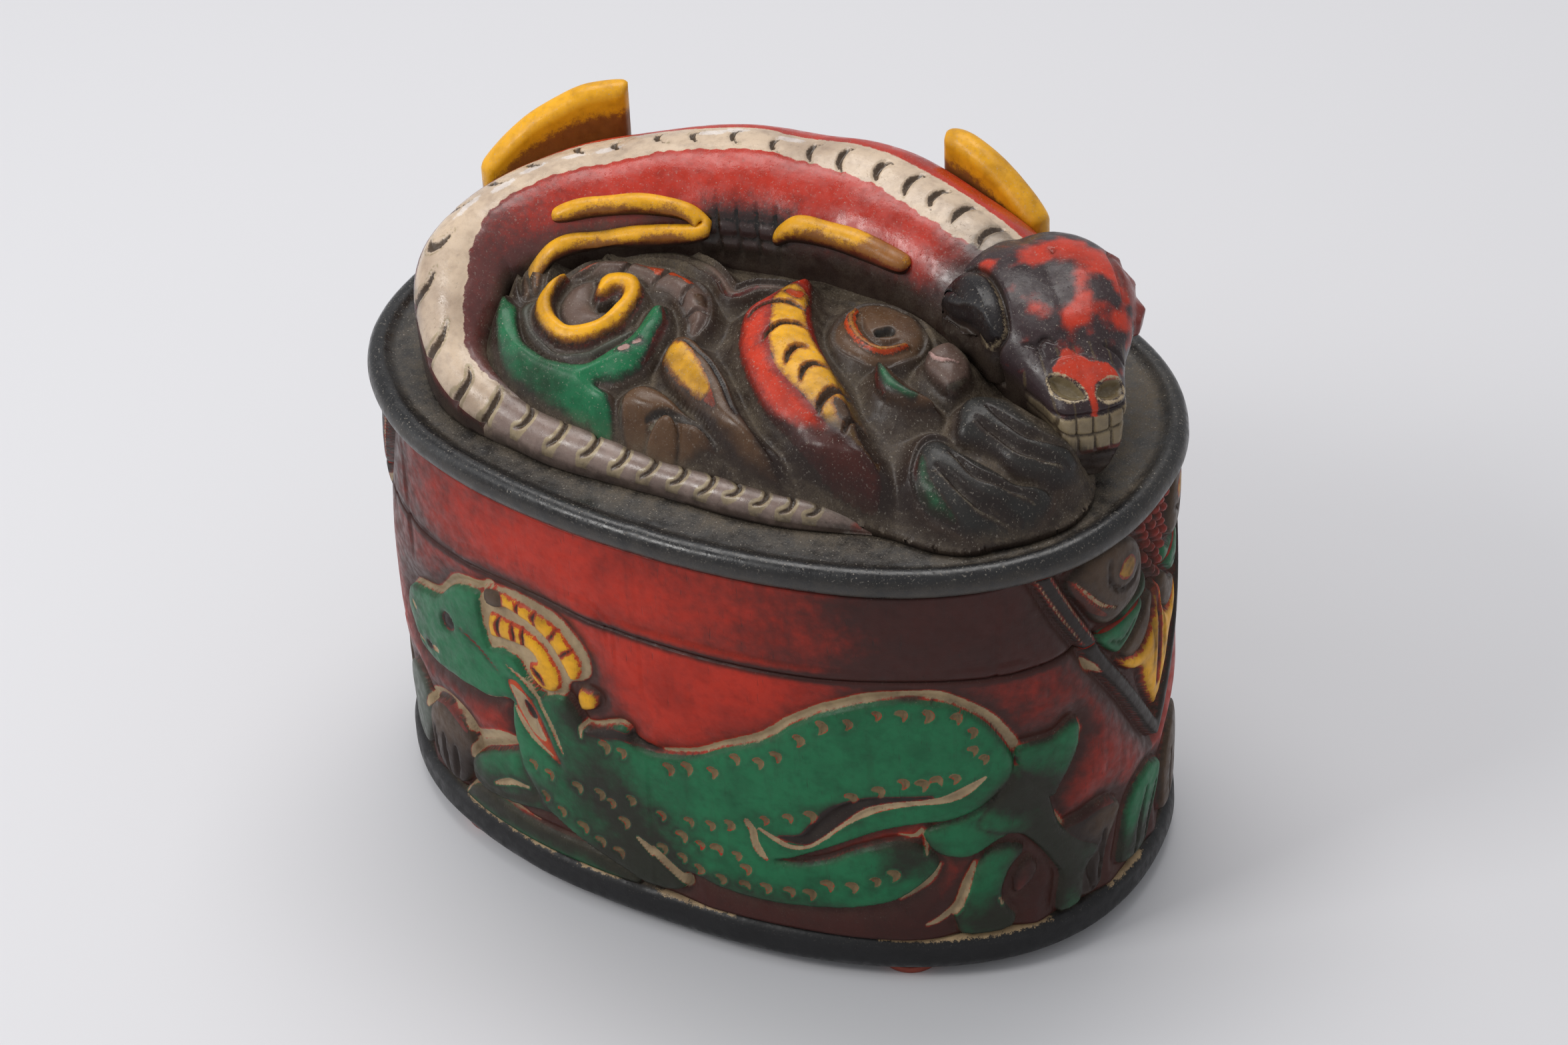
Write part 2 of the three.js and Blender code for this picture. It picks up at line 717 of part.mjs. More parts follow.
const lidGroup = new THREE.Group();
lidGroup.add(node('lid_skirt', lidSkirt, red()));
lidGroup.add(node('lid_board', lidBoard, black()));
lidGroup.add(node('beast_body', without(beast, headSeat), red()));
lidGroup.add(node('beast_head', carvedHead(), darkRed()));
lidGroup.add(node('leg_near_hind', nearHind, yellow()));
lidGroup.add(node('leg_near_fore', nearFore, yellow()));
lidGroup.add(node('leg_far_hind', without(leg(farHindLine, true), beastSeat, rimSpace), yellow()));
lidGroup.add(node('leg_far_fore', without(leg(farForeLine, true), beastSeat), yellow()));
lidGroup.add(node('scroll_bed', without(scrollBed(), ...around), umber()));

const scrolls = [
  ['serpent', (grow) => scroll(serpentLine, grow, 20), red()],
  ['big_spiral', bigSpiral, yellow()],
  ['leaf_cluster', (grow) => scroll(clusterLine, grow), green()],
  ['long_leaf', (grow) => scroll(leafLine, grow), umber()],
  ['green_wing', (grow) => scroll(wingLine, grow, 20), green()],
  ['ribbed_arch', (grow) => scroll(archLine, grow), umber()],
  ['small_spiral', smallSpiral, umber()],
  ['curl_ball', curlBall, umber()],
  ['small_leaf', (grow) => scroll(smallLeafLine, grow, 8), green()],
  ['knob', knob, darkRed()],
];
const placed = [bedSeat, ...around];
for (const [name, shape, finish] of scrolls) {
  lidGroup.add(node(name, without(shape(0), ...placed), finish));
  placed.push(shape(seatGap));
}

const box = new THREE.Group();
box.name = 'carved_lidded_box';
box.add(bodyGroup, lidGroup);

export default box;
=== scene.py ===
"""Carved and lacquered wooden lidded box: an oval body with a creature cut in sunk relief round its
wall, and a lid on which a long-tailed beast lies curled round a bed of scrolls.

Millimetres are used for every drawing below, and become metres when a mesh is written."""

import math
from dataclasses import dataclass

import bmesh
import bpy
import numpy as np
from bpy.props import FloatProperty, FloatVectorProperty, IntProperty, PointerProperty
from mathutils import Matrix, Vector


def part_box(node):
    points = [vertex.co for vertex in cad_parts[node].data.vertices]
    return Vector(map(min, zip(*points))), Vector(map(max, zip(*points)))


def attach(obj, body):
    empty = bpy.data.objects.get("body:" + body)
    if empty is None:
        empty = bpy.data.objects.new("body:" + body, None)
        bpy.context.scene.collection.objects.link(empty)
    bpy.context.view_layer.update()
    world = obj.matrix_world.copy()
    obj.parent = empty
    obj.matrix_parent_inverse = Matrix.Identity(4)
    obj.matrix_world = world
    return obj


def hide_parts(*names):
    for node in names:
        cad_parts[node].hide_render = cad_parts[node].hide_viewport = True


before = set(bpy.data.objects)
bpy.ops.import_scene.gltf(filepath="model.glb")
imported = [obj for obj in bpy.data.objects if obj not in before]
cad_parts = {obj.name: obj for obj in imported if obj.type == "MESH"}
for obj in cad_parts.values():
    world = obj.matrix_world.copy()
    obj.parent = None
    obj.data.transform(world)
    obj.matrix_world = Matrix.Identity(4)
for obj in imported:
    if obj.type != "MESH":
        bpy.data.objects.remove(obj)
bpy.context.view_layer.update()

bl_info = {
    "name": "Carved Oval Box",
    "version": (1, 0, 0),
    "blender": (4, 5, 0),
    "location": "3D View > Sidebar > Carved Box",
    "description": "Builds a lacquered oval box with a sunk relief and a carved lid",
    "category": "Object",
}

MM = 0.001
FAR = 60.0
NEARBY = 6.0


def corners(node):
    """Lowest and highest corner of a solid of the frame, in millimetres."""
    low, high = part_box(node)
    return np.array(low) / MM, np.array(high) / MM


def levels(node):
    """Lowest and highest level of a solid of the frame, in millimetres over the floor."""
    low, high = corners(node)
    return float(low[2]), float(high[2])


BASE_BOTTOM, BASE_TOP = levels("base_board")
WALL_BOTTOM, LIP_TOP = levels("box_wall")
SKIRT_BOTTOM, SKIRT_TOP = levels("lid_skirt")
BOARD_BOTTOM, RIM_CREST = levels("lid_board")
HALF_LENGTH, HALF_WIDTH = (float(reach) for reach in corners("lid_board")[1][:2])
RIM_RISE = 1.5
BOARD_TOP = RIM_CREST - RIM_RISE
CARVING_SEAT = BOARD_TOP + 0.3
DEEP_FLOOR = CARVING_SEAT - 12
SEAM_GAP = 0.4


def measure(label, says, default):
    return FloatProperty(name=label, description=says, default=default, unit="LENGTH")


def swatch(label, default):
    return FloatVectorProperty(name=label, description=f"{label} as it shows", subtype="COLOR", size=3,
                               min=0.0, max=1.0, default=default)


class BoxSizes(bpy.types.PropertyGroup):
    """Sizes of the turned and carved parts."""

    length: measure("Length", "Length of the oval lid board", 2 * HALF_LENGTH * MM)
    width: measure("Width", "Width of the oval lid board", 2 * HALF_WIDTH * MM)
    plan_power: FloatProperty(name="Squareness", description="2 is an ellipse, more is squarer", default=2.3)
    wall_inset: measure("Wall inset", "Wall face inside the lid board's edge", 0.0012)
    wall_thickness: measure("Wall thickness", "Thickness of body and skirt", 0.008)
    lip_thickness: measure("Lip thickness", "Thickness of the locating lip", 0.0034)
    lip_height: measure("Lip height", "Height of the lip over the seam", 0.0046)
    ground_depth: measure("Ground depth", "How deep the ground is cut beside a figure", 0.0017)
    relief_columns: IntProperty(name="Relief columns", description="Columns of faces round the wall", default=760)
    relief_rows: IntProperty(name="Relief rows", description="Rows of faces up the wall", default=116)


class CarvingSizes(bpy.types.PropertyGroup):
    """Sizes of the beast and the scrolls on the lid."""

    body_rise: measure("Body rise", "Crown of the body over the lid board", 0.0335)
    tail_rise: measure("Tail rise", "Crown of the tail over the lid board", 0.0078)
    body_half_width: measure("Body half width", "Half width of the body", 0.015)
    tail_half_width: measure("Tail half width", "Half width of the tail", 0.004)
    scroll_rise: measure("Scroll rise", "Crest of the scrolls over the lid board", 0.020)
    scroll_valley: measure("Scroll valley", "Depth of the valleys between scrolls", 0.0045)
    detail: measure("Detail", "Spacing of the carved surface's vertices", 0.00034)


class LacquerColours(bpy.types.PropertyGroup):
    """Colours of the lacquers, the bare wood and the dust."""

    red: swatch("Red lacquer", (0.46, 0.026, 0.010))
    green: swatch("Green lacquer", (0.014, 0.150, 0.060))
    yellow: swatch("Yellow lacquer", (0.82, 0.40, 0.012))
    orange: swatch("Orange undercoat", (0.62, 0.070, 0.012))
    umber: swatch("Umber lacquer", (0.075, 0.042, 0.022))
    black: swatch("Black lacquer", (0.011, 0.011, 0.012))
    mauve: swatch("Mauve bloom", (0.125, 0.080, 0.064))
    cream: swatch("Bare pale wood", (0.56, 0.42, 0.25))
    silver: swatch("Pale stripe", (0.62, 0.48, 0.35))
    # This dark colour is also painted as shade in creases, cuts, hollows and undersides.
    soot: swatch("Dark patina", (0.020, 0.012, 0.010))
    dust: swatch("Settled dust", (0.155, 0.120, 0.082))


class StudioSettings(bpy.types.PropertyGroup):
    """Camera, lamps and floor."""

    lens: FloatProperty(name="Lens", description="Focal length on a 36 mm sensor", default=98.29)
    key_power: FloatProperty(name="Key lamp", description="Power of the large lamp overhead",
                             default=4.3, unit="POWER")
    side_power: FloatProperty(name="Side lamp", description="Power of the strip that lights the rim",
                              default=0.9, unit="POWER")
    front_power: FloatProperty(name="Front lamp", description="Power of the small bright lamp at the front",
                               default=2.2, unit="POWER")
    sky: FloatProperty(name="Ambient light", description="Strength of the light from all round", default=0.50)
    floor_colour: swatch("Floor", (0.68, 0.68, 0.705))


def box_sizes():
    return bpy.context.scene.carved_box_sizes


def carving_sizes():
    return bpy.context.scene.carved_box_carving


def colours():
    return bpy.context.scene.carved_box_colours


def studio():
    return bpy.context.scene.carved_box_studio


# Drawing helpers


def ease(low, high, value):
    """0 at low, 1 at high, with soft ends."""
    share = np.clip((value - low) / (high - low), 0.0, 1.0)
    return share * share * (3.0 - 2.0 * share)


def blend(a, b, share):
    return a + (b - a) * share


def curve_through(points, count, closed=False):
    """A smooth curve through the points, which may carry more numbers than a place."""
    points = np.asarray(points, float)
    if closed:
        ring = np.vstack([points[-1], points, points[0], points[1]])
    else:
        ring = np.vstack([2 * points[0] - points[1], points, 2 * points[-1] - points[-2]])
    spans = len(ring) - 3
    walk = np.linspace(0, spans, count, endpoint=not closed)
    first = np.minimum(walk.astype(int), spans - 1)
    share = (walk - first)[:, None]
    a, b, c, d = (ring[first + step] for step in range(4))

    def gap(p, q):
        return np.maximum(np.linalg.norm((q - p)[:, :3], axis=1), 1e-6)[:, None] ** 0.5

    t1 = gap(a, b)
    t2 = t1 + gap(b, c)
    t3 = t2 + gap(c, d)
    t = t1 + (t2 - t1) * share
    ab = (t1 - t) / t1 * a + t / t1 * b
    bc = (t2 - t) / (t2 - t1) * b + (t - t1) / (t2 - t1) * c
    cd = (t3 - t) / (t3 - t2) * c + (t - t2) / (t3 - t2) * d
    left = (t2 - t) / t2 * ab + t / t2 * bc
    right = (t3 - t) / (t3 - t1) * bc + (t - t1) / (t3 - t1) * cd
    return (t2 - t) / (t2 - t1) * left + (t - t1) / (t2 - t1) * right


def travel_along(line):
    """How far along a line, seen from above, each of its points lies."""
    return np.concatenate([[0.0], np.cumsum(np.linalg.norm(np.diff(line[:, :2], axis=0), axis=1))])


def plan(*columns):
    """Places made of columns of numbers, one row for each place."""
    return np.stack(np.broadcast_arrays(*columns), axis=1)


def nearest(points, line, widths=None):
    """Distance from each point to a polyline, less its half width there."""
    best = np.full(len(points), FAR)
    for i in range(len(line) - 1):
        run = line[i + 1] - line[i]
        share = np.clip((points - line[i]) @ run / max(run @ run, 1e-9), 0.0, 1.0)
        gap = np.linalg.norm(points - line[i] - share[:, None] * run, axis=1)
        if widths is not None:
            gap = gap - blend(widths[i], widths[i + 1], share)
        best = np.minimum(best, gap)
    return best


def inside(points, outline):
    """Whether each point lies in the closed outline."""
    x, y = points[:, 0], points[:, 1]
    odd = np.zeros(len(points), bool)
    for (x0, y0), (x1, y1) in zip(outline, np.roll(outline, -1, axis=0)):
        crosses = (y0 > y) != (y1 > y)
        with np.errstate(divide="ignore", invalid="ignore"):
            odd ^= crosses & (x < (x1 - x0) * (y - y0) / (y1 - y0) + x0)
    return odd


@dataclass
class Mark:
    """One figure or cut of a carved drawing. A closed outline is a list of (x, y), and a stroke a list of
    (x, y, half width). Level, dome and moat shape a figure, and depth a cut."""

    points: list
    paint: str = None
    level: float = 0.0
    dome: float = 0.0
    moat: float = 0.5
    depth: float = 0.5
    figure: bool = True
    mirror: float = None

    def __post_init__(self):
        self.points = np.asarray(self.points, float)
        self.stroke = self.points.shape[1] == 3

    def distance(self, points, period=None):
        """Millimetres from each point to the mark's edge, negative inside."""
        if self.stroke:
            line = curve_through(self.points, (len(self.points) - 1) * 4 + 1)
            reach = line[:, 2].max()
        else:
            line = curve_through(self.points, len(self.points) * 4, closed=True)
            reach = 0.0
        low, high = line[:, :2].min(axis=0), line[:, :2].max(axis=0)
        middle = (low + high) / 2
        place = points.copy()
        if self.mirror is not None:
            if period:
                place[:, 0] = self.mirror + (place[:, 0] - self.mirror + period / 2) % period - period / 2
            place[:, 0] = self.mirror - np.abs(place[:, 0] - self.mirror)
        if period:
            place[:, 0] = middle[0] + (place[:, 0] - middle[0] + period / 2) % period - period / 2
        outside = np.maximum(np.maximum(low - place, place - high), 0.0)
        rough = np.linalg.norm(outside, axis=1) - reach
        result = np.maximum(rough, NEARBY)
        close = rough < NEARBY
        near = place[close]
        if not len(near):
            return result
        if self.stroke:
            result[close] = nearest(near, line[:, :2], line[:, 2])
        else:
            ring = np.vstack([line[:, :2], line[:1, :2]])
            gap = nearest(near, ring)
            result[close] = np.where(inside(near, line[:, :2]), -gap, gap)
        return result


def figure(points, paint, level=0.0, **settings):
    return Mark(points, paint, level, **settings)


def cut(points, depth, paint=None, **settings):
    return Mark(points, paint, depth=depth, figure=False, **settings)


def stroke(points, half, depth, paint=None):
    """A cut of even width that tapers at its ends."""
    last = len(points) - 1
    return cut([(x, y, half if 0 < i < last else half * 0.4) for i, (x, y) in enumerate(points)], depth, paint)


EDGE = 0.45
ROUNDING = 0.9


def carve(points, drawing, ground, paints, period=None):
    """Heights over the uncut face, the distance to each paint's edge, the distance to the nearest figure
    and the distance to the nearest cut."""
    gaps = [mark.distance(points, period) for mark in drawing]
    raised = [gap for gap, mark in zip(gaps, drawing) if mark.figure]
    cover = np.minimum.reduce(raised)
    height = ground(np.maximum(cover, 0.0))
    coats = {paint: np.full(len(points), FAR) for paint in paints}
    score = np.full(len(points), FAR)
    for mark, gap in zip(drawing, gaps):
        if mark.figure:
            within = ease(EDGE, -EDGE, gap)
            around = height - mark.moat * np.exp(-np.maximum(gap, 0.0) / 1.3)
            depth_in = np.maximum(-gap, 0.0)
            top = mark.level - 0.45 * np.exp(-depth_in / ROUNDING)
            if mark.dome:
                half = max(depth_in.max(), 0.1)
                top = top + mark.dome * (np.sqrt(1.0 - (1.0 - np.clip(depth_in / half, 0, 1)) ** 2) - 0.5)
            height = blend(around, top, within)
            score = np.maximum(score, -gap)
            score = np.minimum(score, np.abs(gap))
        else:
            half = max(-gap.min(), 0.2)
            height = height - mark.depth * ease(0.15, -half, gap)
            score = np.minimum(score, gap)
        if mark.figure or mark.paint:
            for paint in paints:
                coats[paint] = np.maximum(coats[paint], -gap)
            if mark.paint in coats:
                coats[mark.paint] = np.minimum(coats[mark.paint], gap)
    return height, coats, cover, score


# Meshes


def read_places(mesh):
    places = np.empty(len(mesh.vertices) * 3)
    mesh.vertices.foreach_get("co", places)
    return places.reshape(-1, 3)


def write_places(mesh, places):
    mesh.vertices.foreach_set("co", np.ascontiguousarray(places, dtype=np.float32).ravel())
    mesh.update()


def write_fields(mesh, **fields):
    """Numbers at each vertex, read by the materials."""
    for name, values in fields.items():
        layer = mesh.attributes.new(name, "FLOAT", "POINT")
        layer.data.foreach_set("value", np.ascontiguousarray(values, dtype=np.float32))


def settle(name, mesh, body, nodes, material):
    """Puts a mesh, drawn in millimetres, into the scene as a finished piece that rides on a body."""
    write_places(mesh, read_places(mesh) * MM)
    mesh.polygons.foreach_set("use_smooth", np.full(len(mesh.polygons), True))
    mesh.materials.clear()
    mesh.materials.append(material)
    piece = bpy.data.objects.new(name, mesh)
    bpy.context.scene.collection.objects.link(piece)
    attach(piece, body)
    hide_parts(*nodes)


def as_mesh(name, bm):
    bmesh.ops.recalc_face_normals(bm, faces=bm.faces)
    mesh = bpy.data.meshes.new(name)
    bm.to_mesh(mesh)
    bm.free()
    return mesh


class Oval:
    """The plan outline, walked in millimetres from the middle of the front towards the right end."""

    def __init__(self):
        sizes = box_sizes()
        half_length = sizes.length / MM / 2
        half_width = sizes.width / MM / 2
        power = sizes.plan_power
        angle = np.linspace(-math.pi / 2, math.pi * 1.5, 16385)
        c = np.cos(angle)
        s = np.sin(angle)
        x = half_length * np.sign(c) * np.abs(c) ** (2 / power)
        y = half_width * np.sign(s) * np.abs(s) ** (2 / power)
        nx = np.sign(x) * np.abs(x / half_length) ** (power - 1) / half_length
        ny = np.sign(y) * np.abs(y / half_width) ** (power - 1) / half_width
        size = np.hypot(nx, ny)
        self.x, self.y, self.nx, self.ny = x, y, nx / size, ny / size
        inset = sizes.wall_inset / MM
        self.travel = travel_along(np.stack([x - self.nx * inset, y - self.ny * inset], axis=1))
        self.round = self.travel[-1]

    def place(self, walk, inset):
        walk = np.mod(walk, self.round)
        x, y, nx, ny = (np.interp(walk, self.travel, row) for row in (self.x, self.y, self.nx, self.ny))
        return x - nx * inset, y - ny * inset


AXIS = 100.0


def turned(name, profile, columns, crowd=0.0):
    """A profile of (inset, height), spun as on a lathe and then laid along the oval. Crowd puts more
    columns at the front than at the back. Gives the mesh and each vertex's walk, inset and height."""
    bm = bmesh.new()
    closed = profile[0] == profile[-1]
    rows = profile[:-1] if closed else profile
    row = [bm.verts.new((AXIS - inset, 0.0, height)) for inset, height in rows]
    for a, b in zip(row, row[1:] + (row[:1] if closed else [])):
        bm.edges.new((a, b))
    bmesh.ops.spin(bm, geom=bm.verts[:] + bm.edges[:], cent=(0, 0, 0), axis=(0, 0, 1), dvec=(0, 0, 0),
                   angle=math.tau, steps=columns, use_merge=True)
    bmesh.ops.remove_doubles(bm, verts=bm.verts, dist=1e-3)
    mesh = as_mesh(name, bm)
    places = read_places(mesh)
    radius = np.hypot(places[:, 0], places[:, 1])
    share = np.mod(np.arctan2(places[:, 1], places[:, 0]) / math.tau, 1.0)
    oval = Oval()
    walk = oval.round * (share - crowd * np.sin(math.tau * share) / math.tau)
    return mesh, walk, AXIS - radius, places[:, 2], radius < 1e-2


def lay(mesh, walk, inset, height, middle):
    """Moves the vertices of a turned mesh to the oval."""
    x, y = Oval().place(walk, inset)
    write_places(mesh, np.stack([np.where(middle, 0.0, x), np.where(middle, 0.0, y), height], axis=1))


@dataclass
class Way:
    """How far along a member each vertex lies, where across it from -1 to 1 (left of the way is positive),
    its turn from the crown, the half width there, the whole length and the step aside from the axis."""

    walk: object
    across: object
    turn: object
    half: object
    length: float
    aside: object


def swept(name, stations, around, along, floor=None, flare=0.4, turn_in=0.0):
    """A tube bent along a curve. Each station is (x, y, crown height, half width, crown radius). With a
    floor its flanks go straight down to it. Gives the mesh, its places and each one's part of the way."""
    bm = bmesh.new()
    bmesh.ops.create_cone(bm, cap_ends=True, segments=around, radius1=1, radius2=1, depth=1)
    lengthwise = [edge for edge in bm.edges if abs(edge.verts[0].co.z - edge.verts[1].co.z) > 0.5]
    bmesh.ops.subdivide_edges(bm, edges=lengthwise, cuts=along - 1, use_grid_fill=True)
    mesh = as_mesh(name, bm)
    places = read_places(mesh)
    share = np.clip(places[:, 2] + 0.5, 0.0, 1.0)
    across, up = places[:, 0].copy(), places[:, 1].copy()
    fine = curve_through(stations, 1601)
    travel = travel_along(fine)
    walk = share * travel[-1]
    x, y, crown_height, half, crown = (np.interp(walk, travel, column) for column in fine.T)
    heading = np.gradient(fine[:, :2], axis=0)
    heading /= np.linalg.norm(heading, axis=1)[:, None]
    ux, uy = (np.interp(walk, travel, column) for column in heading.T)
    size = np.hypot(ux, uy)
    ux, uy = ux / size, uy / size
    half = np.maximum(half, 0.15)
    crown = np.maximum(crown, 0.15)
    middle = crown_height - crown
    lower = up < 0
    if floor is None:
        spread = across
        height = middle + crown * up
    else:
        spread = np.where(lower, np.sign(across) * np.abs(across) ** flare * (1 + turn_in * up), across)
        height = np.where(lower, middle + (middle - floor) * up, middle + crown * up)
    places = plan(x - uy * spread * half, y + ux * spread * half, height)
    aside = np.stack([-uy, ux], axis=1) * (spread * half)[:, None]
    return mesh, places, Way(walk, across, np.arctan2(across, up), half, travel[-1], aside)


def random_field(places, size, seed):
    """Smooth noise from -1 to 1, one value for each place, with lumps of the given size."""
    rng = np.random.default_rng(seed)
    waves = 18
    turns = rng.normal(size=(waves, 3))
    turns /= np.linalg.norm(turns, axis=1)[:, None]
    pitch = math.tau / (size * rng.uniform(0.7, 1.6, waves))
    phase = rng.uniform(0, math.tau, waves)
    return np.sin(places @ (turns * pitch[:, None]).T + phase).sum(axis=1) / math.sqrt(waves)


# Finishes


class Recipe:
    """Adds shader nodes to a tree and links them as they are named."""

    def __init__(self, tree):
        self.tree = tree

    def add(self, kind, inputs=None, **settings):
        node = self.tree.nodes.new(kind)
        for name, value in settings.items():
            setattr(node, name, value)
        for name, value in (inputs or {}).items():
            self.feed(node.inputs[name], value)
        return node

    def feed(self, socket, value):
        if isinstance(value, bpy.types.NodeSocket):
            self.tree.links.new(value, socket)
        elif value is not None:
            socket.default_value = (*value, 1.0) if socket.type == "RGBA" and len(value) == 3 else value

    def math(self, operation, a, b=None, clamp=False):
        node = self.add("ShaderNodeMath", operation=operation, use_clamp=clamp)
        self.feed(node.inputs[0], a)
        self.feed(node.inputs[1], b)
        return node.outputs[0]

    def times(self, a, b, clamp=False):
        return self.math("MULTIPLY", a, b, clamp)

    def plus(self, a, b):
        return self.math("ADD", a, b)

    def centred(self, value, size):
        """A noise value moved to swing about 0, by that size."""
        return self.times(self.math("SUBTRACT", value, 0.5), size)

    def mix(self, share, a, b, mode="MIX"):
        node = self.add("ShaderNodeMix", data_type="RGBA", blend_type=mode)
        for socket, value in zip((0, 6, 7), (share, a, b)):
            self.feed(node.inputs[socket], value)
        return node.outputs[2]

    def blend(self, share, a, b):
        node = self.add("ShaderNodeMix", data_type="FLOAT")
        for socket, value in zip((0, 2, 3), (share, a, b)):
            self.feed(node.inputs[socket], value)
        return node.outputs[0]

    def span(self, value, low, high, to_low=0.0, to_high=1.0):
        sockets = {"Value": value, "From Min": low, "From Max": high, "To Min": to_low, "To Max": to_high}
        return self.add("ShaderNodeMapRange", sockets, interpolation_type="SMOOTHSTEP").outputs[0]

    def noise(self, place, scale, detail=3.0, roughness=0.55, distortion=0.0):
        return self.add("ShaderNodeTexNoise", {"Vector": place, "Scale": scale, "Detail": detail,
                                               "Roughness": roughness, "Distortion": distortion}).outputs[0]

    def field(self, name):
        return self.add("ShaderNodeAttribute", attribute_name=name).outputs["Fac"]

    def scaled(self, place, factors):
        node = self.add("ShaderNodeVectorMath", operation="MULTIPLY")
        self.feed(node.inputs[0], place)
        self.feed(node.inputs[1], factors)
        return node.outputs[0]

    def placed(self, group, **inputs):
        """An effect put into the tree, with an underscore for each space in its sockets' names."""
        sockets = {name.replace("_", " "): value for name, value in inputs.items()}
        return self.add("ShaderNodeGroup", sockets, node_tree=group).outputs


def effect(name, inputs, outputs):
    """Makes a recipe into a shader node group with named sockets, built once."""

    def wrap(recipe_steps):
        def group():
            tree = bpy.data.node_groups.get(name)
            if tree:
                return tree
            tree = bpy.data.node_groups.new(name, "ShaderNodeTree")
            for label, kind, default in inputs:
                socket = tree.interface.new_socket(label, in_out="INPUT", socket_type=kind)
                if default is not None:
                    socket.default_value = default
            for label, kind in outputs:
                tree.interface.new_socket(label, in_out="OUTPUT", socket_type=kind)
            recipe = Recipe(tree)
            recipe_steps(recipe, recipe.add("NodeGroupInput").outputs, recipe.add("NodeGroupOutput").inputs)
            return tree

        return group

    return wrap


FLOAT = "NodeSocketFloat"
COLOUR = "NodeSocketColor"
PLACE = ("Place", "NodeSocketVector", None)


@effect("Paint edge", [PLACE, ("Distance", FLOAT, 1.0), ("Wobble", FLOAT, 0.3), ("Softness", FLOAT, 0.1)],
        [("Mask", FLOAT)])
def paint_edge(recipe, start, end):
    """Where a coat of paint lies, from the distance to its edge in millimetres, with a hand's wobble."""
    coarse = recipe.noise(start["Place"], 0.9, 2.0)
    fine = recipe.noise(start["Place"], 4.5, 2.0)
    wobble = recipe.plus(recipe.centred(coarse, 1.3), recipe.centred(fine, 0.9))
    moved = recipe.plus(start["Distance"], recipe.times(wobble, start["Wobble"]))
    recipe.feed(end["Mask"], recipe.span(moved, start["Softness"], recipe.times(start["Softness"], -1.0)))


@effect("Open grain", [PLACE, ("Stretch", "NodeSocketVector", (1.0, 1.0, 0.12)), ("Amount", FLOAT, 0.5)],
        [("Mask", FLOAT), ("Height", FLOAT)])
def open_grain(recipe, start, end):
    """Fine dark pores and streaks of the wood, drawn out along the grain."""
    stretched = recipe.scaled(start["Place"], start["Stretch"])
    pores = recipe.span(recipe.noise(stretched, 2.2, 4.0, 0.65), 0.60, 0.74)
    streaks = recipe.span(recipe.noise(stretched, 0.45, 3.0, 0.6), 0.55, 0.80)
    where = recipe.span(recipe.noise(start["Place"], 0.11, 2.0), 0.35, 0.65, 0.25, 1.0)
    pitted = recipe.times(pores, where)
    both = recipe.math("MAXIMUM", pitted, recipe.times(streaks, 0.45))
    recipe.feed(end["Mask"], recipe.times(both, start["Amount"], clamp=True))
    recipe.feed(end["Height"], pitted)


@effect("Mottled lacquer", [PLACE, ("Colour", COLOUR, (0.5, 0.5, 0.5, 1.0)), ("Shade share", FLOAT, 1.0)],
        [("Colour", COLOUR)])
def mottled_lacquer(recipe, start, end):
    """A lacquer colour with the clouds and thin spots of a hand-rubbed coat."""
    dark = recipe.span(recipe.noise(start["Place"], 0.10, 4.0, 0.6), 0.40, 0.72, 0.0, 0.55)
    thin = recipe.span(recipe.noise(start["Place"], 0.55, 4.0, 0.6), 0.42, 0.75, 0.0, 0.35)
    shade = recipe.mix(start["Shade share"], (1.0, 1.0, 1.0), (0.45, 0.40, 0.40))
    toned = recipe.mix(dark, start["Colour"], recipe.mix(1.0, start["Colour"], shade, "MULTIPLY"))
    recipe.feed(end["Colour"], recipe.mix(thin, toned, recipe.mix(1.0, toned, shade, "MULTIPLY")))


@effect("Rubbed edge", [PLACE, ("Raised", FLOAT, 0.0), ("Amount", FLOAT, 1.0)], [("Mask", FLOAT)])
def rubbed_edge(recipe, start, end):
    """Where handling has rubbed the lacquer off the raised edges."""
    patchy = recipe.span(recipe.noise(start["Place"], 0.35, 3.0, 0.6), 0.3, 0.7, 1.3, 0.55)
    limit = recipe.plus(patchy, recipe.centred(recipe.noise(start["Place"], 2.5, 3.0, 0.6), 0.9))
    over = recipe.math("SUBTRACT", recipe.times(start["Raised"], start["Amount"]), limit)
    recipe.feed(end["Mask"], recipe.span(over, 0.0, 0.14))


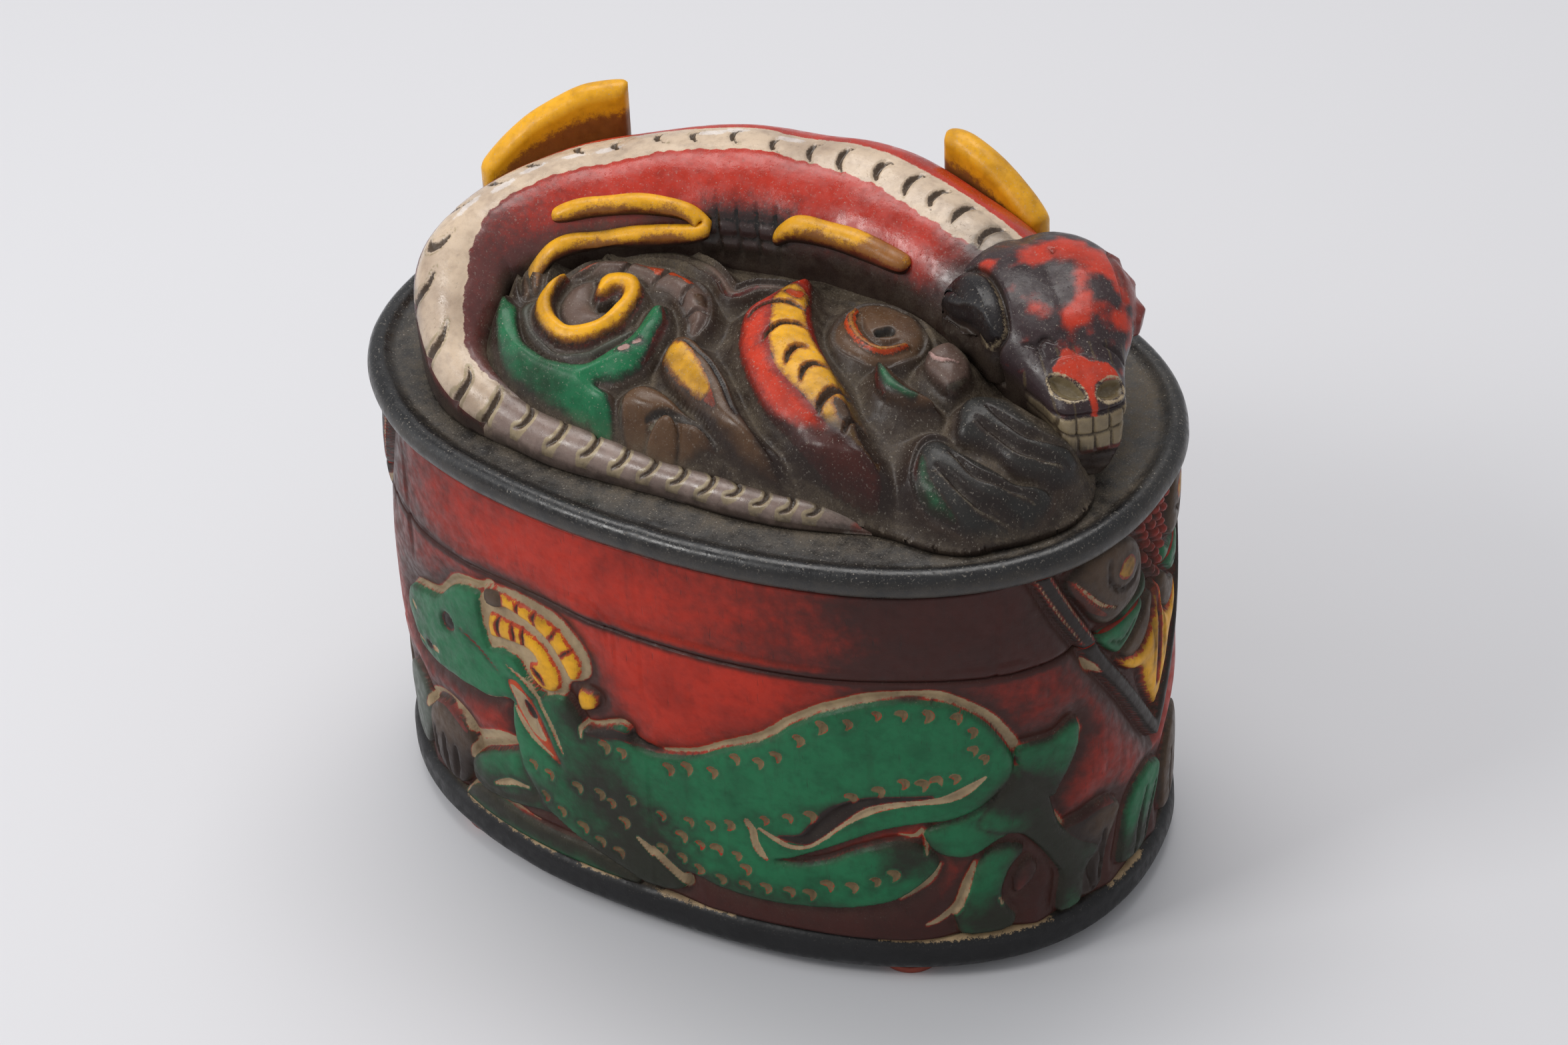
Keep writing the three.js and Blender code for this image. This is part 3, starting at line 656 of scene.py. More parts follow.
@effect("Settled dust", [PLACE, ("Hollow", FLOAT, 0.0), ("Amount", FLOAT, 0.6), ("Specks", FLOAT, 0.6)],
        [("Mask", FLOAT), ("Specks", FLOAT)])
def settled_dust(recipe, start, end):
    """Dust that has settled in the hollows, and loose specks on what faces up."""
    up = recipe.add("ShaderNodeSeparateXYZ", {"Vector": recipe.add("ShaderNodeNewGeometry").outputs["Normal"]})
    facing = recipe.span(up.outputs["Z"], -0.1, 0.75)
    patchy = recipe.noise(start["Place"], 0.28, 4.0, 0.62)
    fine = recipe.noise(start["Place"], 3.2, 4.0, 0.7)
    lying = recipe.times(start["Hollow"], recipe.span(patchy, 0.30, 0.66, 0.25, 1.15))
    grainy = recipe.times(recipe.times(lying, recipe.span(fine, 0.30, 0.62, 0.35, 1.0)), start["Amount"])
    recipe.feed(end["Mask"], recipe.times(grainy, recipe.blend(0.35, facing, 1.0), clamp=True))
    dots = recipe.add("ShaderNodeTexVoronoi", {"Vector": start["Place"], "Scale": 1.5}).outputs
    size = recipe.add("ShaderNodeSeparateColor", {"Color": dots["Color"]}).outputs[0]
    near = recipe.math("LESS_THAN", dots["Distance"], recipe.span(size, 0.55, 1.0, 0.0, 0.17))
    grit = recipe.times(recipe.span(recipe.noise(start["Place"], 2.4, 3.0), 0.58, 0.74), 0.40)
    spread = recipe.times(near, recipe.span(patchy, 0.30, 0.70, 0.2, 1.0))
    loose = recipe.times(recipe.math("MAXIMUM", spread, grit), facing)
    recipe.feed(end["Specks"], recipe.times(loose, start["Specks"], clamp=True))


def lacquered(name, ground, layers=(), gloss=0.34, grain=0.4, wear=0.0, worn_to=None, dust=0.6, specks=0.5,
              fields=(), shine=0.32):
    """A finish of lacquer coats. Each layer is (field, colour, wobble, softness), painted in order over
    the ground. Fields names which of the dark field (dark patches and painted shade) and the hollow field the mesh
    carries, and wear reads its field worn."""
    paint = colours()
    material = bpy.data.materials.new(name)
    material.use_nodes = True
    material.node_tree.nodes.clear()
    recipe = Recipe(material.node_tree)
    place = recipe.scaled(recipe.add("ShaderNodeTexCoord").outputs["Object"], (1 / MM, 1 / MM, 1 / MM))

    def lacquer(tint, share=1.0):
        return recipe.placed(mottled_lacquer(), Place=place, Colour=tint, Shade_share=share)["Colour"]

    colour = lacquer(ground)
    for field, tint, wobble, softness in layers:
        mask = recipe.placed(paint_edge(), Place=place, Distance=recipe.field(field), Wobble=wobble,
                             Softness=softness)["Mask"]
        colour = recipe.mix(mask, colour, lacquer(tint))
    pores = recipe.placed(open_grain(), Place=place, Amount=grain)
    colour = recipe.mix(pores["Mask"], colour, recipe.mix(0.85, colour, paint.soot))
    # Painted shade and dark patches: the dark field pulls the colour towards the dark patina colour.
    if "soot" in fields:
        cloud = recipe.noise(place, 0.42, 4.0, 0.6)
        level = recipe.plus(recipe.field("soot"), recipe.centred(cloud, 0.55))
        colour = recipe.mix(recipe.times(recipe.span(level, 0.12, 0.95), 0.93), colour, paint.soot)
    rough = recipe.blend(recipe.span(recipe.noise(place, 0.5, 4.0), 0.3, 0.7), gloss - 0.07, gloss + 0.16)
    if wear:
        rub = recipe.placed(rubbed_edge(), Place=place, Raised=recipe.field("worn"), Amount=wear)["Mask"]
        colour = recipe.mix(rub, colour, lacquer(worn_to, 0.8))
        rough = recipe.blend(rub, rough, 0.62)
    hollow = recipe.field("hollow") if "hollow" in fields else 0.0
    lying = recipe.placed(settled_dust(), Place=place, Hollow=hollow, Amount=dust, Specks=specks)
    colour = recipe.mix(lying["Mask"], colour, paint.dust)
    colour = recipe.mix(lying["Specks"], colour, (0.36, 0.32, 0.27))
    rough = recipe.blend(recipe.math("MAXIMUM", lying["Mask"], lying["Specks"]), rough, 0.92)
    fine = recipe.noise(place, 3.0, 4.0, 0.6)
    broad = recipe.noise(place, 0.35, 2.0)
    relief = recipe.plus(recipe.times(fine, 0.020), recipe.times(broad, 0.10))
    relief = recipe.math("SUBTRACT", relief, recipe.times(pores["Height"], 0.035))
    relief = recipe.plus(relief, recipe.times(lying["Mask"], recipe.times(fine, 0.06)))
    bump = recipe.add("ShaderNodeBump", {"Height": relief, "Distance": MM, "Strength": 1.0})
    shader = recipe.add("ShaderNodeBsdfPrincipled", {"Base Color": colour, "Roughness": rough,
                                                     "Normal": bump.outputs[0], "Specular IOR Level": shine})
    recipe.add("ShaderNodeOutputMaterial", {"Surface": shader.outputs[0]})
    return material


def blotches(points, spots, base=0.0):
    """A soft field with (x, y, reach along x, reach along y, amount) spots added to a base."""
    total = np.full(len(points), base)
    for x, y, reach_x, reach_y, amount in spots:
        away = ((points[:, 0] - x) / reach_x) ** 2 + ((points[:, 1] - y) / reach_y) ** 2
        total = total + amount * np.exp(-away)
    return total


# The drawing round the wall, as (walk from the middle of the front, height over the floor)

ROUND = 401.9
WINDOW = ROUND / 2
WINDOW_START = -97.0
END_AXIS = 104.0

COMB_PANEL = [
    (-35.5, 60), (-34.6, 64), (-31, 65.7), (-24, 66.6), (-17.5, 65.6), (-13.8, 62.5), (-11.2, 58.5), (-10.9, 54.8),
    (-13, 52.3), (-15.6, 51), (-17, 47.5), (-19.5, 46.2), (-22, 46.4), (-25, 48.6), (-27, 51.8), (-30, 52.4),
    (-33.6, 51.3), (-34.8, 54),
]
COMB_LOW = [
    (-33.1, 54.3), (-32.9, 59.3), (-29.2, 59.9), (-25, 59.9), (-21.3, 58.6), (-18.8, 55.5), (-17.1, 52.2),
    (-17.5, 49.3), (-19.6, 47.6), (-22.1, 48), (-24, 50.1), (-24, 52.2), (-22.1, 53.4), (-23.3, 55.3), (-26.7, 55.5),
    (-30, 54.9),
]
COMB_HIGH = [
    (-33.4, 61.4), (-33.8, 63.8), (-31.5, 65), (-28.8, 65.5), (-25, 65.4), (-20.8, 64.9), (-16.7, 63.2),
    (-14.2, 60.1), (-12.3, 56.8), (-12.9, 53.8), (-14.6, 52.4), (-16.3, 55.1), (-17.9, 58), (-20, 60.3),
    (-22.9, 61.8), (-25.8, 62.4), (-28.3, 62.6),
]
COMB_BROWN = [(-33.6, 61.3), (-34, 63.9), (-31.5, 65.2), (-29.6, 65.2), (-29.4, 62.6), (-31, 61.4)]
TAG = [(-13.5, 50.5), (-12.5, 51.4), (-9.2, 50.5), (-10, 47.8), (-13, 46.6)]
HEAD = [
    (-62.7, 44.2), (-62, 46.6), (-60, 49.9), (-55, 52.2), (-50.8, 53.6), (-48.3, 54.7), (-46.3, 56.8), (-44.2, 59),
    (-41.7, 60.9), (-38.3, 62.2), (-35.8, 62.4), (-34.8, 61.8), (-35.4, 59.7), (-34.8, 56.8), (-34.6, 53.4),
    (-33.5, 51.5), (-30, 52.4), (-27.5, 52.2), (-26, 50.1), (-24.2, 47.6), (-21.7, 46.1), (-19.2, 46.9),
    (-17.1, 47.8), (-13, 43), (-14, 38), (-24, 36), (-29.8, 40.9), (-34.2, 39.3), (-40, 38.8), (-45, 38.4),
    (-52.5, 37.4), (-57.5, 37.6), (-59.6, 39.3), (-62, 42.4),
]
BODY = [
    (-17.1, 47.8), (-14.4, 45.4), (-12.5, 42.6), (-10, 43.4), (-6.7, 45.1), (-4.6, 45.9), (-3.3, 45.3), (-2.9, 43.4),
    (0.4, 42.2), (5, 43), (10, 44.7), (14.2, 47.4), (18.3, 49.5), (21.7, 51.3), (25, 53.8), (27.1, 55.9), (30, 58),
    (32.9, 59.9), (36.7, 61.5), (40.8, 63), (45, 63.8), (48.1, 64.1), (51.8, 63.7), (55.2, 62.9), (58.2, 61),
    (61.1, 58.5), (63.6, 55.1), (65.7, 51.3), (66.8, 48.8), (66.8, 45.5), (65.3, 42.5), (62.4, 40), (59.4, 38.3),
    (55.2, 36.8), (50.2, 36.4), (46.8, 35.8), (42.6, 34.5), (38.4, 32.4), (35, 30.5), (30.8, 28.2), (26.7, 25.9),
    (23.8, 24.9), (27, 24.8), (30, 25.4), (34, 27), (38, 29.4), (42, 31), (45.1, 32), (49, 31.6), (52.6, 28.8),
    (53.2, 27), (52.7, 25.7), (51, 23.6), (48.1, 20.7), (45, 18.5), (40, 16.8), (35, 15.7), (25, 14.7), (16.7, 14.7),
    (11.7, 15.3), (8.3, 16.3), (6.1, 16.2), (6.3, 14.7), (5.8, 12.6), (2.9, 10.9), (-3, 10.9), (-5, 11.8),
    (-10, 13.4), (-15, 15.1), (-20, 17.6), (-23.3, 19.5), (-25.8, 23), (-27.9, 26.3), (-28.8, 30.5), (-29.4, 34.7),
    (-29.4, 38), (-29, 41), (-24, 44),
]
FIN = [
    (-29.6, 45.9), (-28.3, 42.2), (-26.7, 38.8), (-24.2, 35.1), (-21.7, 33.4), (-18.3, 31.8), (-19.6, 34.7),
    (-20.8, 38), (-22.9, 42.2), (-25.4, 44.7), (-27.5, 46.5),
]
FIN_PANEL = [
    (-29.2, 45.3), (-27.8, 42.4), (-26, 39.6), (-23.6, 36.6), (-21.2, 36), (-22.4, 39.4), (-24.2, 42.8), (-26.4, 45),
]
FIN_SLIT = [(-26, 43.6), (-24.2, 42.8), (-22.8, 40.4), (-24, 40), (-25.4, 41.6)]
PUPIL = [(-47.2, 50.7), (-46, 52.5), (-44.2, 52.3), (-43.2, 50.6), (-44.4, 49.1), (-46.2, 49)]
FORELEG = [
    (-27, 30), (-29.2, 29.3), (-33.3, 27.2), (-38.3, 24.3), (-41.3, 21.8), (-42.9, 18.8), (-42.5, 15.9), (-40, 14.6),
    (-35.8, 14.9), (-30.4, 15.9), (-25, 17.4), (-21, 18.5), (-22, 26),
]
BOTTOM_STRIP = [
    (-47, 9.2), (-45.6, 11.6), (-43, 13.4), (-36, 14.2), (-28, 13.6), (-15, 13.8), (-8, 12.6), (-4, 11), (-3.4, 9.2),
]
PAW = [
    (-58, 20), (-57.3, 23), (-55, 25.9), (-51.7, 28.2), (-48.3, 29.1), (-44.2, 28.7), (-41.9, 27.4), (-41, 23),
    (-43, 18.8), (-44.5, 14.4), (-46.6, 11.4), (-52, 11), (-56, 13), (-57.2, 16),
]
LEFT_FAN = [
    (-70.5, 22), (-68.6, 26), (-65, 27.8), (-61, 27.6), (-58.4, 25.4), (-57.4, 21), (-58.2, 16), (-60.6, 11.4),
    (-68, 11), (-70, 16),
]
THIGH = [
    (50.6, 34.5), (51.4, 31.2), (53.5, 29.1), (56.9, 28.2), (59.4, 28.4), (63.6, 30.8), (68, 32.4), (70, 36),
    (66, 41), (58, 37.5),
]
HIND_LEG = [
    (67.8, 31.2), (69.5, 29.5), (72, 26.1), (74.5, 21.9), (75.8, 19), (75.4, 15.2), (75.2, 10.4), (80, 10.4),
    (80.8, 16.1), (82.5, 18.6), (84.6, 20.7), (80.4, 24.5), (77.5, 27.8), (75.4, 31.6), (74.5, 34.5), (73.3, 39.6),
    (70.3, 45.9), (67.8, 47.6), (66, 44), (62, 39), (60, 35),
]
TAIL_FIN = [
    (67.2, 50.9), (69.9, 51.1), (74.5, 51.1), (78.3, 53), (79.6, 52.2), (80, 49.7), (79.4, 46.3), (77.5, 42.5),
    (75.8, 40), (74.3, 37.6), (70, 43), (67.6, 47),
]
REAR_FOOT = [
    (60.3, 26.6), (59, 22.8), (57.7, 19.4), (56.9, 16.9), (55.6, 14.8), (56.1, 12.3), (56.9, 10.2), (66.1, 10.2),
    (67, 12.3), (65.7, 14.4), (64.5, 17.7), (64.9, 20.7), (66.1, 24), (68.7, 27.8), (65, 29.6), (62, 28.8),
]
ALMOND = [(69.5, 24.9), (71.4, 22.4), (70, 19.4), (67, 17.5), (66.6, 20.7)]
BROWN_FAN = [
    (76.6, 29.6), (80.4, 30.2), (84.6, 30.7), (88.8, 29.2), (90.7, 26.8), (89.2, 23.6), (87.6, 20.7), (86.3, 16.5),
    (84.9, 11.4), (80, 10.8), (77, 20), (75, 26),
]
GREEN_FAN = [
    (90.9, 12.1), (91.8, 18.6), (93, 23.6), (95.1, 26.6), (99.3, 27.8), (103.5, 27.4), (106.7, 24.9), (105.4, 20),
    (102.6, 15), (100, 11),
]
LAST_FAN = [
    (109, 11), (107.8, 17), (108.4, 23), (111, 27), (116, 28.6), (121, 27.8), (124.6, 24.6), (124.4, 18), (122, 11),
]
BAR = [
    (71.6, 87.4, 1.9), (76.4, 77.4, 1.9), (81.2, 69.2, 1.8), (83.4, 64.6, 1.6), (92.4, 51.4, 1.5), (101.6, 37.6, 1.6),
    (104.0, 34.4, 1.4),
]
SCROLL_LEAF = [
    (76.8, 82), (78.2, 84.4), (82, 85.8), (89, 85.8), (94, 83.8), (96.6, 80.4), (97.6, 76.6), (97.2, 73.2),
    (95, 70.8), (90.9, 69.4), (86.7, 69.4), (83.6, 71.6), (80.6, 76.2),
]
SCROLL_HEART = [(88.6, 79.4), (90, 81.6), (92.6, 81.4), (93.6, 79.2), (92.4, 77.4), (90.2, 77.6)]
GREEN_TIP_HIGH = [
    (84.6, 68.2), (88.4, 68), (93.4, 68.9), (97.4, 70.6), (99.6, 72.6), (100.4, 70.4), (99.6, 67.4), (92, 66.6),
    (86, 66.9),
]
GREEN_TIP_LOW = [(84.6, 67.2), (85.8, 65), (88, 62.6), (90.1, 61), (93, 62), (95.5, 63.7), (98.4, 67.4)]
PETAL_BROWN = [
    (91.6, 60), (94.4, 62), (97.8, 64.2), (100, 67), (102.2, 66.8), (101.8, 62), (99.8, 58.6), (97, 57), (94, 57.2),
]
PETAL = [
    (90.4, 59.2), (92, 56.6), (94.7, 54.3), (97.4, 53), (98.4, 50.4), (99.2, 47.6), (101.2, 44), (103.2, 40.6),
    (104, 39.4), (104, 66.8), (103.2, 66.8), (102.4, 62), (100.2, 58.4), (96.8, 56.8), (93.4, 58),
]
BEAD = [(-1.2, 0), (-0.5, 1.1), (0.7, 1.1), (1.2, 0), (0.5, -1.1), (-0.7, -1.0)]
BEADS = [
    (98.4, 82.6), (101.2, 82.8), (104, 82.9), (99.6, 80.2), (102.6, 80.4), (100.6, 77.8), (103.9, 78), (99.4, 75.4),
    (102.2, 75.8), (101, 73.3), (104, 73.6), (102.4, 71), (104, 69.4),
]
SCALES = [
    (-8.1, 40.5), (-4.6, 40.5), (4.2, 40.3), (7.9, 41.8), (12.9, 42.6), (17.3, 46.8), (21.7, 47.2), (25, 49.5),
    (29.2, 54), (33.3, 57.6), (37.9, 58.8), (42.9, 61.1), (47.2, 61.4), (51.6, 61.2), (56.5, 60.2), (59.2, 56.8),
    (59.2, 53), (61.1, 50.7), (22.3, 34.3), (26.7, 35.9), (30.8, 37.2), (38.1, 42.4), (42.9, 44.3), (47.2, 46.3),
    (50.4, 46.1), (52.9, 46.9), (56, 47.1), (-24.8, 29), (-21, 28.6), (-14.6, 28.6), (-9.8, 29), (-7.5, 27.8),
    (-3.3, 30.1), (2.1, 28.8), (7.7, 29.5), (11.9, 30.1), (15.6, 31.3), (-5, 24.3), (6, 25.5), (9.6, 24.7),
    (12.9, 24.9), (16.7, 24.5), (18.3, 21.8), (-22.5, 22.6), (-18.8, 20.9), (-14.2, 19.3), (-10.6, 17.4),
    (-6.7, 16.5), (1.9, 21.1), (5.8, 20.3), (9, 18.6), (13.3, 17.8), (17.9, 18), (21.9, 18.4), (26.3, 18.6),
    (30, 18.8), (33.3, 21.5), (37.7, 21.8), (41.9, 23.6), (45.1, 25.3),
]
SCALE_SHAPE = [
    (-1.2, 0.35), (-0.75, 0.95), (0.1, 1.1), (0.85, 0.75), (1.1, 0.0), (0.7, -0.9), (0.15, -1.5), (0.1, -0.7),
    (-0.2, -0.1), (-0.7, 0.0),
]


def scale_marks():
    """Small hooked cuts along the creature, each turned a little differently."""
    rng = np.random.default_rng(7)
    marks = []
    for x, y in SCALES:
        turn = rng.normal(0.0, 0.22)
        size = rng.uniform(0.85, 1.15)
        shape = [(x + size * (math.cos(turn) * u - math.sin(turn) * v),
                  y + size * (math.sin(turn) * u + math.cos(turn) * v)) for u, v in SCALE_SHAPE]
        marks.append(cut(shape, 0.7, "tan"))
    return marks


def wall_drawing():
    """The creature in sunk relief, from the ground up."""
    return [
        figure(BOTTOM_STRIP, "green", -0.5),
        stroke([(-46, 9.7), (-43.6, 13.4), (-40, 14.5), (-36, 14.6), (-31, 14.4), (-26, 14.2)], 0.35, 0.1, "cream"),
        figure(LEFT_FAN, "grey", -0.3),
        figure(PAW, "brown", -0.25, dome=0.4),
        stroke([(-59, 22), (-56.6, 26), (-53, 28.8), (-48.3, 30), (-44, 29.6), (-40.6, 27.4), (-37, 29.2),
            (-33, 31), (-29.6, 31.2)], 1.0, 0.2, "cream"),
        stroke([(-56.4, 25), (-53.6, 27.4), (-50, 28.6), (-46, 28), (-43, 26.4)], 0.75, 0.0, "redline"),
        stroke([(-55.2, 20), (-54.8, 16), (-53.6, 11.6)], 0.7, 1.0),
        stroke([(-51.2, 20.6), (-51, 16), (-50.4, 11.6)], 0.7, 1.0),
        stroke([(-47.2, 20), (-47.4, 16), (-48, 11.8)], 0.9, 1.1),
        figure(FORELEG, "green", -0.3, dome=0.3),
        stroke([(-29.6, 30.4), (-34, 28.4), (-38, 26.2), (-41, 23.6), (-42.6, 20.4)], 0.9, 0.1, "cream"),
        figure([(-28, 29), (-33.3, 27), (-38.3, 24.1), (-41.3, 21.6), (-42.7, 18.8), (-40, 16), (-30, 18),
            (-24, 22)], "green", -0.3, moat=0.1),
        stroke([(-35.8, 18.4), (-33.4, 20), (-31, 21.3), (-27.1, 21.9)], 0.65, 0.7, "cream"),
        figure(COMB_PANEL, "cream", -1.0, moat=0.2),
        figure(HEAD, "green", 0.0, moat=0.6),
        figure(COMB_PANEL, "cream", -1.0, moat=0.0),
        figure(COMB_LOW, "yellow", -0.1, moat=0.35),
        figure(COMB_HIGH, "yellow", -0.1, moat=0.35),
        figure(COMB_BROWN, "brown", -0.1, moat=0.1),
        stroke([(-27.4, 59.8), (-27, 57.6), (-27.2, 55.6)], 0.35, 0.5, "brown"),
        stroke([(-24.9, 59.9), (-24.7, 57.8), (-24.9, 55.6)], 0.3, 0.5, "brown"),
        stroke([(-30.4, 59.6), (-30.9, 57.6), (-30.6, 55.2)], 0.45, 0.5, "brown"),
        stroke([(-23.4, 51.8), (-22, 50.9), (-20.8, 49.2)], 0.5, 0.4, "brown"),
        stroke([(-21.4, 64.8), (-21.9, 63.6), (-21.6, 61.6)], 0.3, 0.4, "brown"),
        stroke([(-25.2, 65.4), (-25.6, 64), (-25.6, 62.6)], 0.3, 0.4, "brown"),
        stroke([(-17, 63), (-17.8, 61.4), (-18.8, 60)], 0.25, 0.4, "brown"),
        stroke([(-14, 59.6), (-15.2, 58.6), (-16.6, 57)], 0.25, 0.4, "brown"),
        figure(TAG, "yellow", -0.2, moat=0.3),
        cut([(-30.6, 41.2, 0.3), (-32, 40.2, 0.5), (-35, 39.4, 0.3)], 0.2, "cream"),
        figure(BODY, "green", 0.0, moat=0.5, dome=0.3),
        stroke([(-13, 40.6), (-13, 42.9), (-10, 44), (-6.7, 45.7), (-4.6, 46.4), (-3.2, 45.8)], 0.42, 0.2, "cream"),
        stroke([(-11.6, 42), (-8.6, 43), (-5, 44.2), (-1.6, 43.4), (1.2, 42.6)], 0.9, 0.25, "black"),
        stroke([(-29.4, 49.5), (-25.6, 47.7), (-22.6, 44.9), (-20, 41.4), (-18.6, 38),
            (-17.4, 34.9)], 0.45, 0.7, "cream"),
        figure(FIN, "orange", -0.15, moat=0.4),
        cut(FIN_PANEL, 0.3, "cream"),
        cut(FIN_SLIT, 0.6, "black"),
        stroke([(-28.2, 40.6), (-26, 37.4), (-23, 34.6), (-20, 33)], 0.55, 0.2, "cream"),
        stroke([(-21.9, 40), (-20.7, 37.2)], 0.5, 0.0, "redline"),
        figure(PUPIL, "black", -0.35, moat=0.0, dome=0.4),
        stroke([(-41.4, 51.6), (-39, 51), (-36.3, 50.1), (-31.7, 47)], 0.22, 0.3, "redline"),
        cut([(-58.9, 46.6, 0.5), (-58, 45.9, 0.5)], 0.3, "cream"),
        stroke([(-59.4, 39.1), (-57, 39.5), (-55.2, 39.5)], 0.3, 0.4, "cream"),
        cut([(-50.9, 41.2, 0.6), (-49.8, 41.4, 0.5)], 0.4, "cream"),
        cut([(-53.4, 40.8, 0.6), (-52.3, 40.7, 0.6)], 0.5, "black"),
        cut([(-2.4, 21.6, 0.4), (-0.2, 20, 0.9), (2.9, 17.4, 1.0), (5.4, 15.2, 0.9), (6.5, 13.4, 0.5),
            (5.6, 12, 0.3)], 0.9, "cream"),
        cut([(19, 33.2, 0.6), (20, 31.4, 0.7), (20.3, 29, 0.7), (21, 27, 0.8), (22.3, 25, 0.3)], 0.9, "cream"),
        # Painted shade: a dark band in the long groove, over the pale lip cut below it.
        cut([(25, 31.2, 0.4), (29.4, 31.6, 1.3), (32.6, 35, 1.9), (36.4, 39, 1.9), (41, 41.7, 1.1), (46, 42.6, 0.7),
            (52, 43.2, 0.4)], 1.0, "black"),
        cut([(21.3, 32.2, 0.3), (24.2, 30.5, 0.55), (27, 29.3, 0.5), (30, 29.9, 0.35), (33, 32.4, 0.3),
            (36.9, 36.4, 0.4), (41, 39.6, 0.8), (45.4, 41.2, 0.65), (50, 42, 0.5), (54.4, 42.6, 0.8),
            (57.6, 44, 1.0), (61.3, 46.6, 0.3)], 0.6, "cream"),
        stroke([(46.2, 33.4), (49, 33), (50.6, 34), (51, 29.6)], 0.55, 0.3, "cream"),
        figure(THIGH, "green", -0.1, moat=0.5),
        figure(BROWN_FAN, "brown", -0.2, moat=0.3, dome=0.4),
        stroke([(77, 29.4), (80.4, 30), (84.6, 30.4), (88.4, 29)], 0.7, 0.0, "redline"),
        stroke([(82.4, 20), (82.2, 16), (82.9, 12)], 0.5, 1.0),
        stroke([(85.8, 24), (85.2, 18), (84.4, 13)], 0.45, 1.0),
        figure(GREEN_FAN, "green", -0.2, moat=0.4, dome=0.4),
        stroke([(99.6, 24), (97.2, 18.6), (95.6, 12)], 0.6, 1.0),
        stroke([(103.8, 22.6), (101.4, 17.6), (99.2, 12)], 0.6, 1.0),
        figure(LAST_FAN, "brown", -0.2, moat=0.4, dome=0.4),
        stroke([(112.6, 23), (112, 17), (112.6, 12)], 0.5, 1.0),
        stroke([(117, 23), (117, 17), (117, 12)], 0.5, 1.0),
        stroke([(121, 22), (120.4, 17), (119.8, 12)], 0.5, 1.0),
        figure(REAR_FOOT, "green", -0.2, moat=0.4),
        stroke([(59.6, 26), (58.2, 22.4), (57.2, 19.2), (56.2, 16.6), (54, 14.4), (50.8, 13)], 0.75, 0.2, "cream"),
        stroke([(63.8, 17.8), (64.4, 16)], 0.6, 0.3, "cream"),
        figure(HIND_LEG, "green", -0.1, moat=0.5),
        stroke([(71.6, 43.8), (73, 40.6), (73.9, 38.4)], 0.6, 0.4, "cream"),
        figure(TAIL_FIN, "green", -0.1, moat=0.3),
        stroke([(79.9, 52), (80.4, 49.6), (79.8, 46.2)], 0.35, 0.1, "cream"),
        figure(ALMOND, "redline", -0.5, moat=0.4),
    ] + scale_marks()


def outline_strokes():
    """The bare ledge that the knife left along the upper edges of the figures."""
    return [
        cut([(-62, 47.8, 0.3), (-58, 51.4, 0.55), (-52, 53.9, 0.6), (-48.6, 55.4, 0.7), (-45.6, 58.4, 0.8),
            (-42, 61.8, 1.1), (-38, 63.2, 1.0), (-35, 63.9, 0.9), (-33, 65.6, 0.6)], 0.0, "cream"),
        cut([(3, 43.2, 0.4), (10, 45.6, 0.55), (14.2, 48.2, 0.55), (18.3, 50.3, 0.75), (21.7, 52.1, 0.8),
            (24.7, 54.6, 0.8), (27.1, 57, 0.75), (30, 59, 0.8), (33, 60.8, 0.85), (37, 62.5, 0.95), (41, 64, 1.0),
            (45, 64.8, 0.8), (49, 65.1, 0.7), (53, 64.8, 1.1), (56.4, 63.4, 0.9), (59.6, 61.2, 0.9),
            (62.4, 58.8, 0.9), (65.2, 54.8, 0.9), (67.2, 51, 1.0), (68.3, 48.6, 0.9),
            (67.4, 45.6, 0.5)], 0.0, "cream"),
        cut([(-29.6, 31, 0.6), (-33, 29.6, 0.9), (-38, 27.2, 0.9), (-40.6, 25.4, 0.6)], 0.0, "cream"),
        cut([(46, 18.2, 0.2), (48.6, 20.2, 0.4), (51.6, 23.2, 0.6), (53.4, 26.2, 0.3)], 0.0, "cream"),
        cut([(75, 33, 0.25), (76.4, 30.4, 0.35), (79, 26.8, 0.3), (82.6, 23.2, 0.3),
            (84.8, 21.4, 0.2)], 0.0, "cream"),
    ]


def end_drawing():
    """The pendant at each end, half of it drawn and mirrored. It runs from the skirt to the body."""
    drawing = [
        figure(SCROLL_LEAF, "brown", -0.3, dome=0.6),
        stroke([(77.6, 83.2), (79.6, 79.6), (82.4, 75.4), (85.6, 72.4)], 0.65, 0.2, "orange"),
        stroke([(78.4, 83), (81.4, 79), (84.4, 75.4), (88, 72.8)], 0.3, 0.5, "cream"),
        stroke([(86.4, 83.6), (86.2, 79.6), (88.6, 76.4), (92.6, 75.6), (95, 77.6)], 0.35, 0.6, None),
        cut(SCROLL_HEART, -0.3, "yellow"),
        figure(GREEN_TIP_HIGH, "green", -0.6),
        figure(GREEN_TIP_LOW, "green", -0.5),
        stroke([(87.4, 65.4), (90.6, 63.6), (94.6, 65.6)], 0.3, 0.4, None),
        figure(PETAL_BROWN, "brown", -0.5),
        figure(PETAL, "yellow", -0.3, dome=0.5),
        stroke([(104, 66), (104, 58), (104, 50), (104, 45)], 0.7, 1.0, "black"),
        stroke([(101.4, 64), (102, 56), (101.6, 50)], 0.35, 0.5, None),
    ]
    drawing += [figure([(x + u, y + v) for u, v in BEAD], "redline", -0.5, dome=0.5) for x, y in BEADS]
    drawing += [
        figure(BAR, "black", 0.0, moat=0.8),
        stroke([(70.4, 87), (75.2, 77.6), (80.2, 69)], 0.2, 0.4, "cream"),
        stroke([(73.2, 86.8), (78, 77.4), (82.8, 68.6)], 0.22, 0.4, "cream"),
        cut([(81, 64.6, 0.3), (82.2, 62.8, 0.9), (84.4, 60.4, 0.3)], 0.5, "cream"),
    ]
    for mark in drawing:
        mark.mirror = END_AXIS
    return drawing


WALL_PAINTS = ("green", "grey", "brown", "yellow", "orange", "redline", "black", "cream", "tan")
INSIDE_DARKENING = 0.45
LACQUER_FIELDS = ("soot", "hollow")


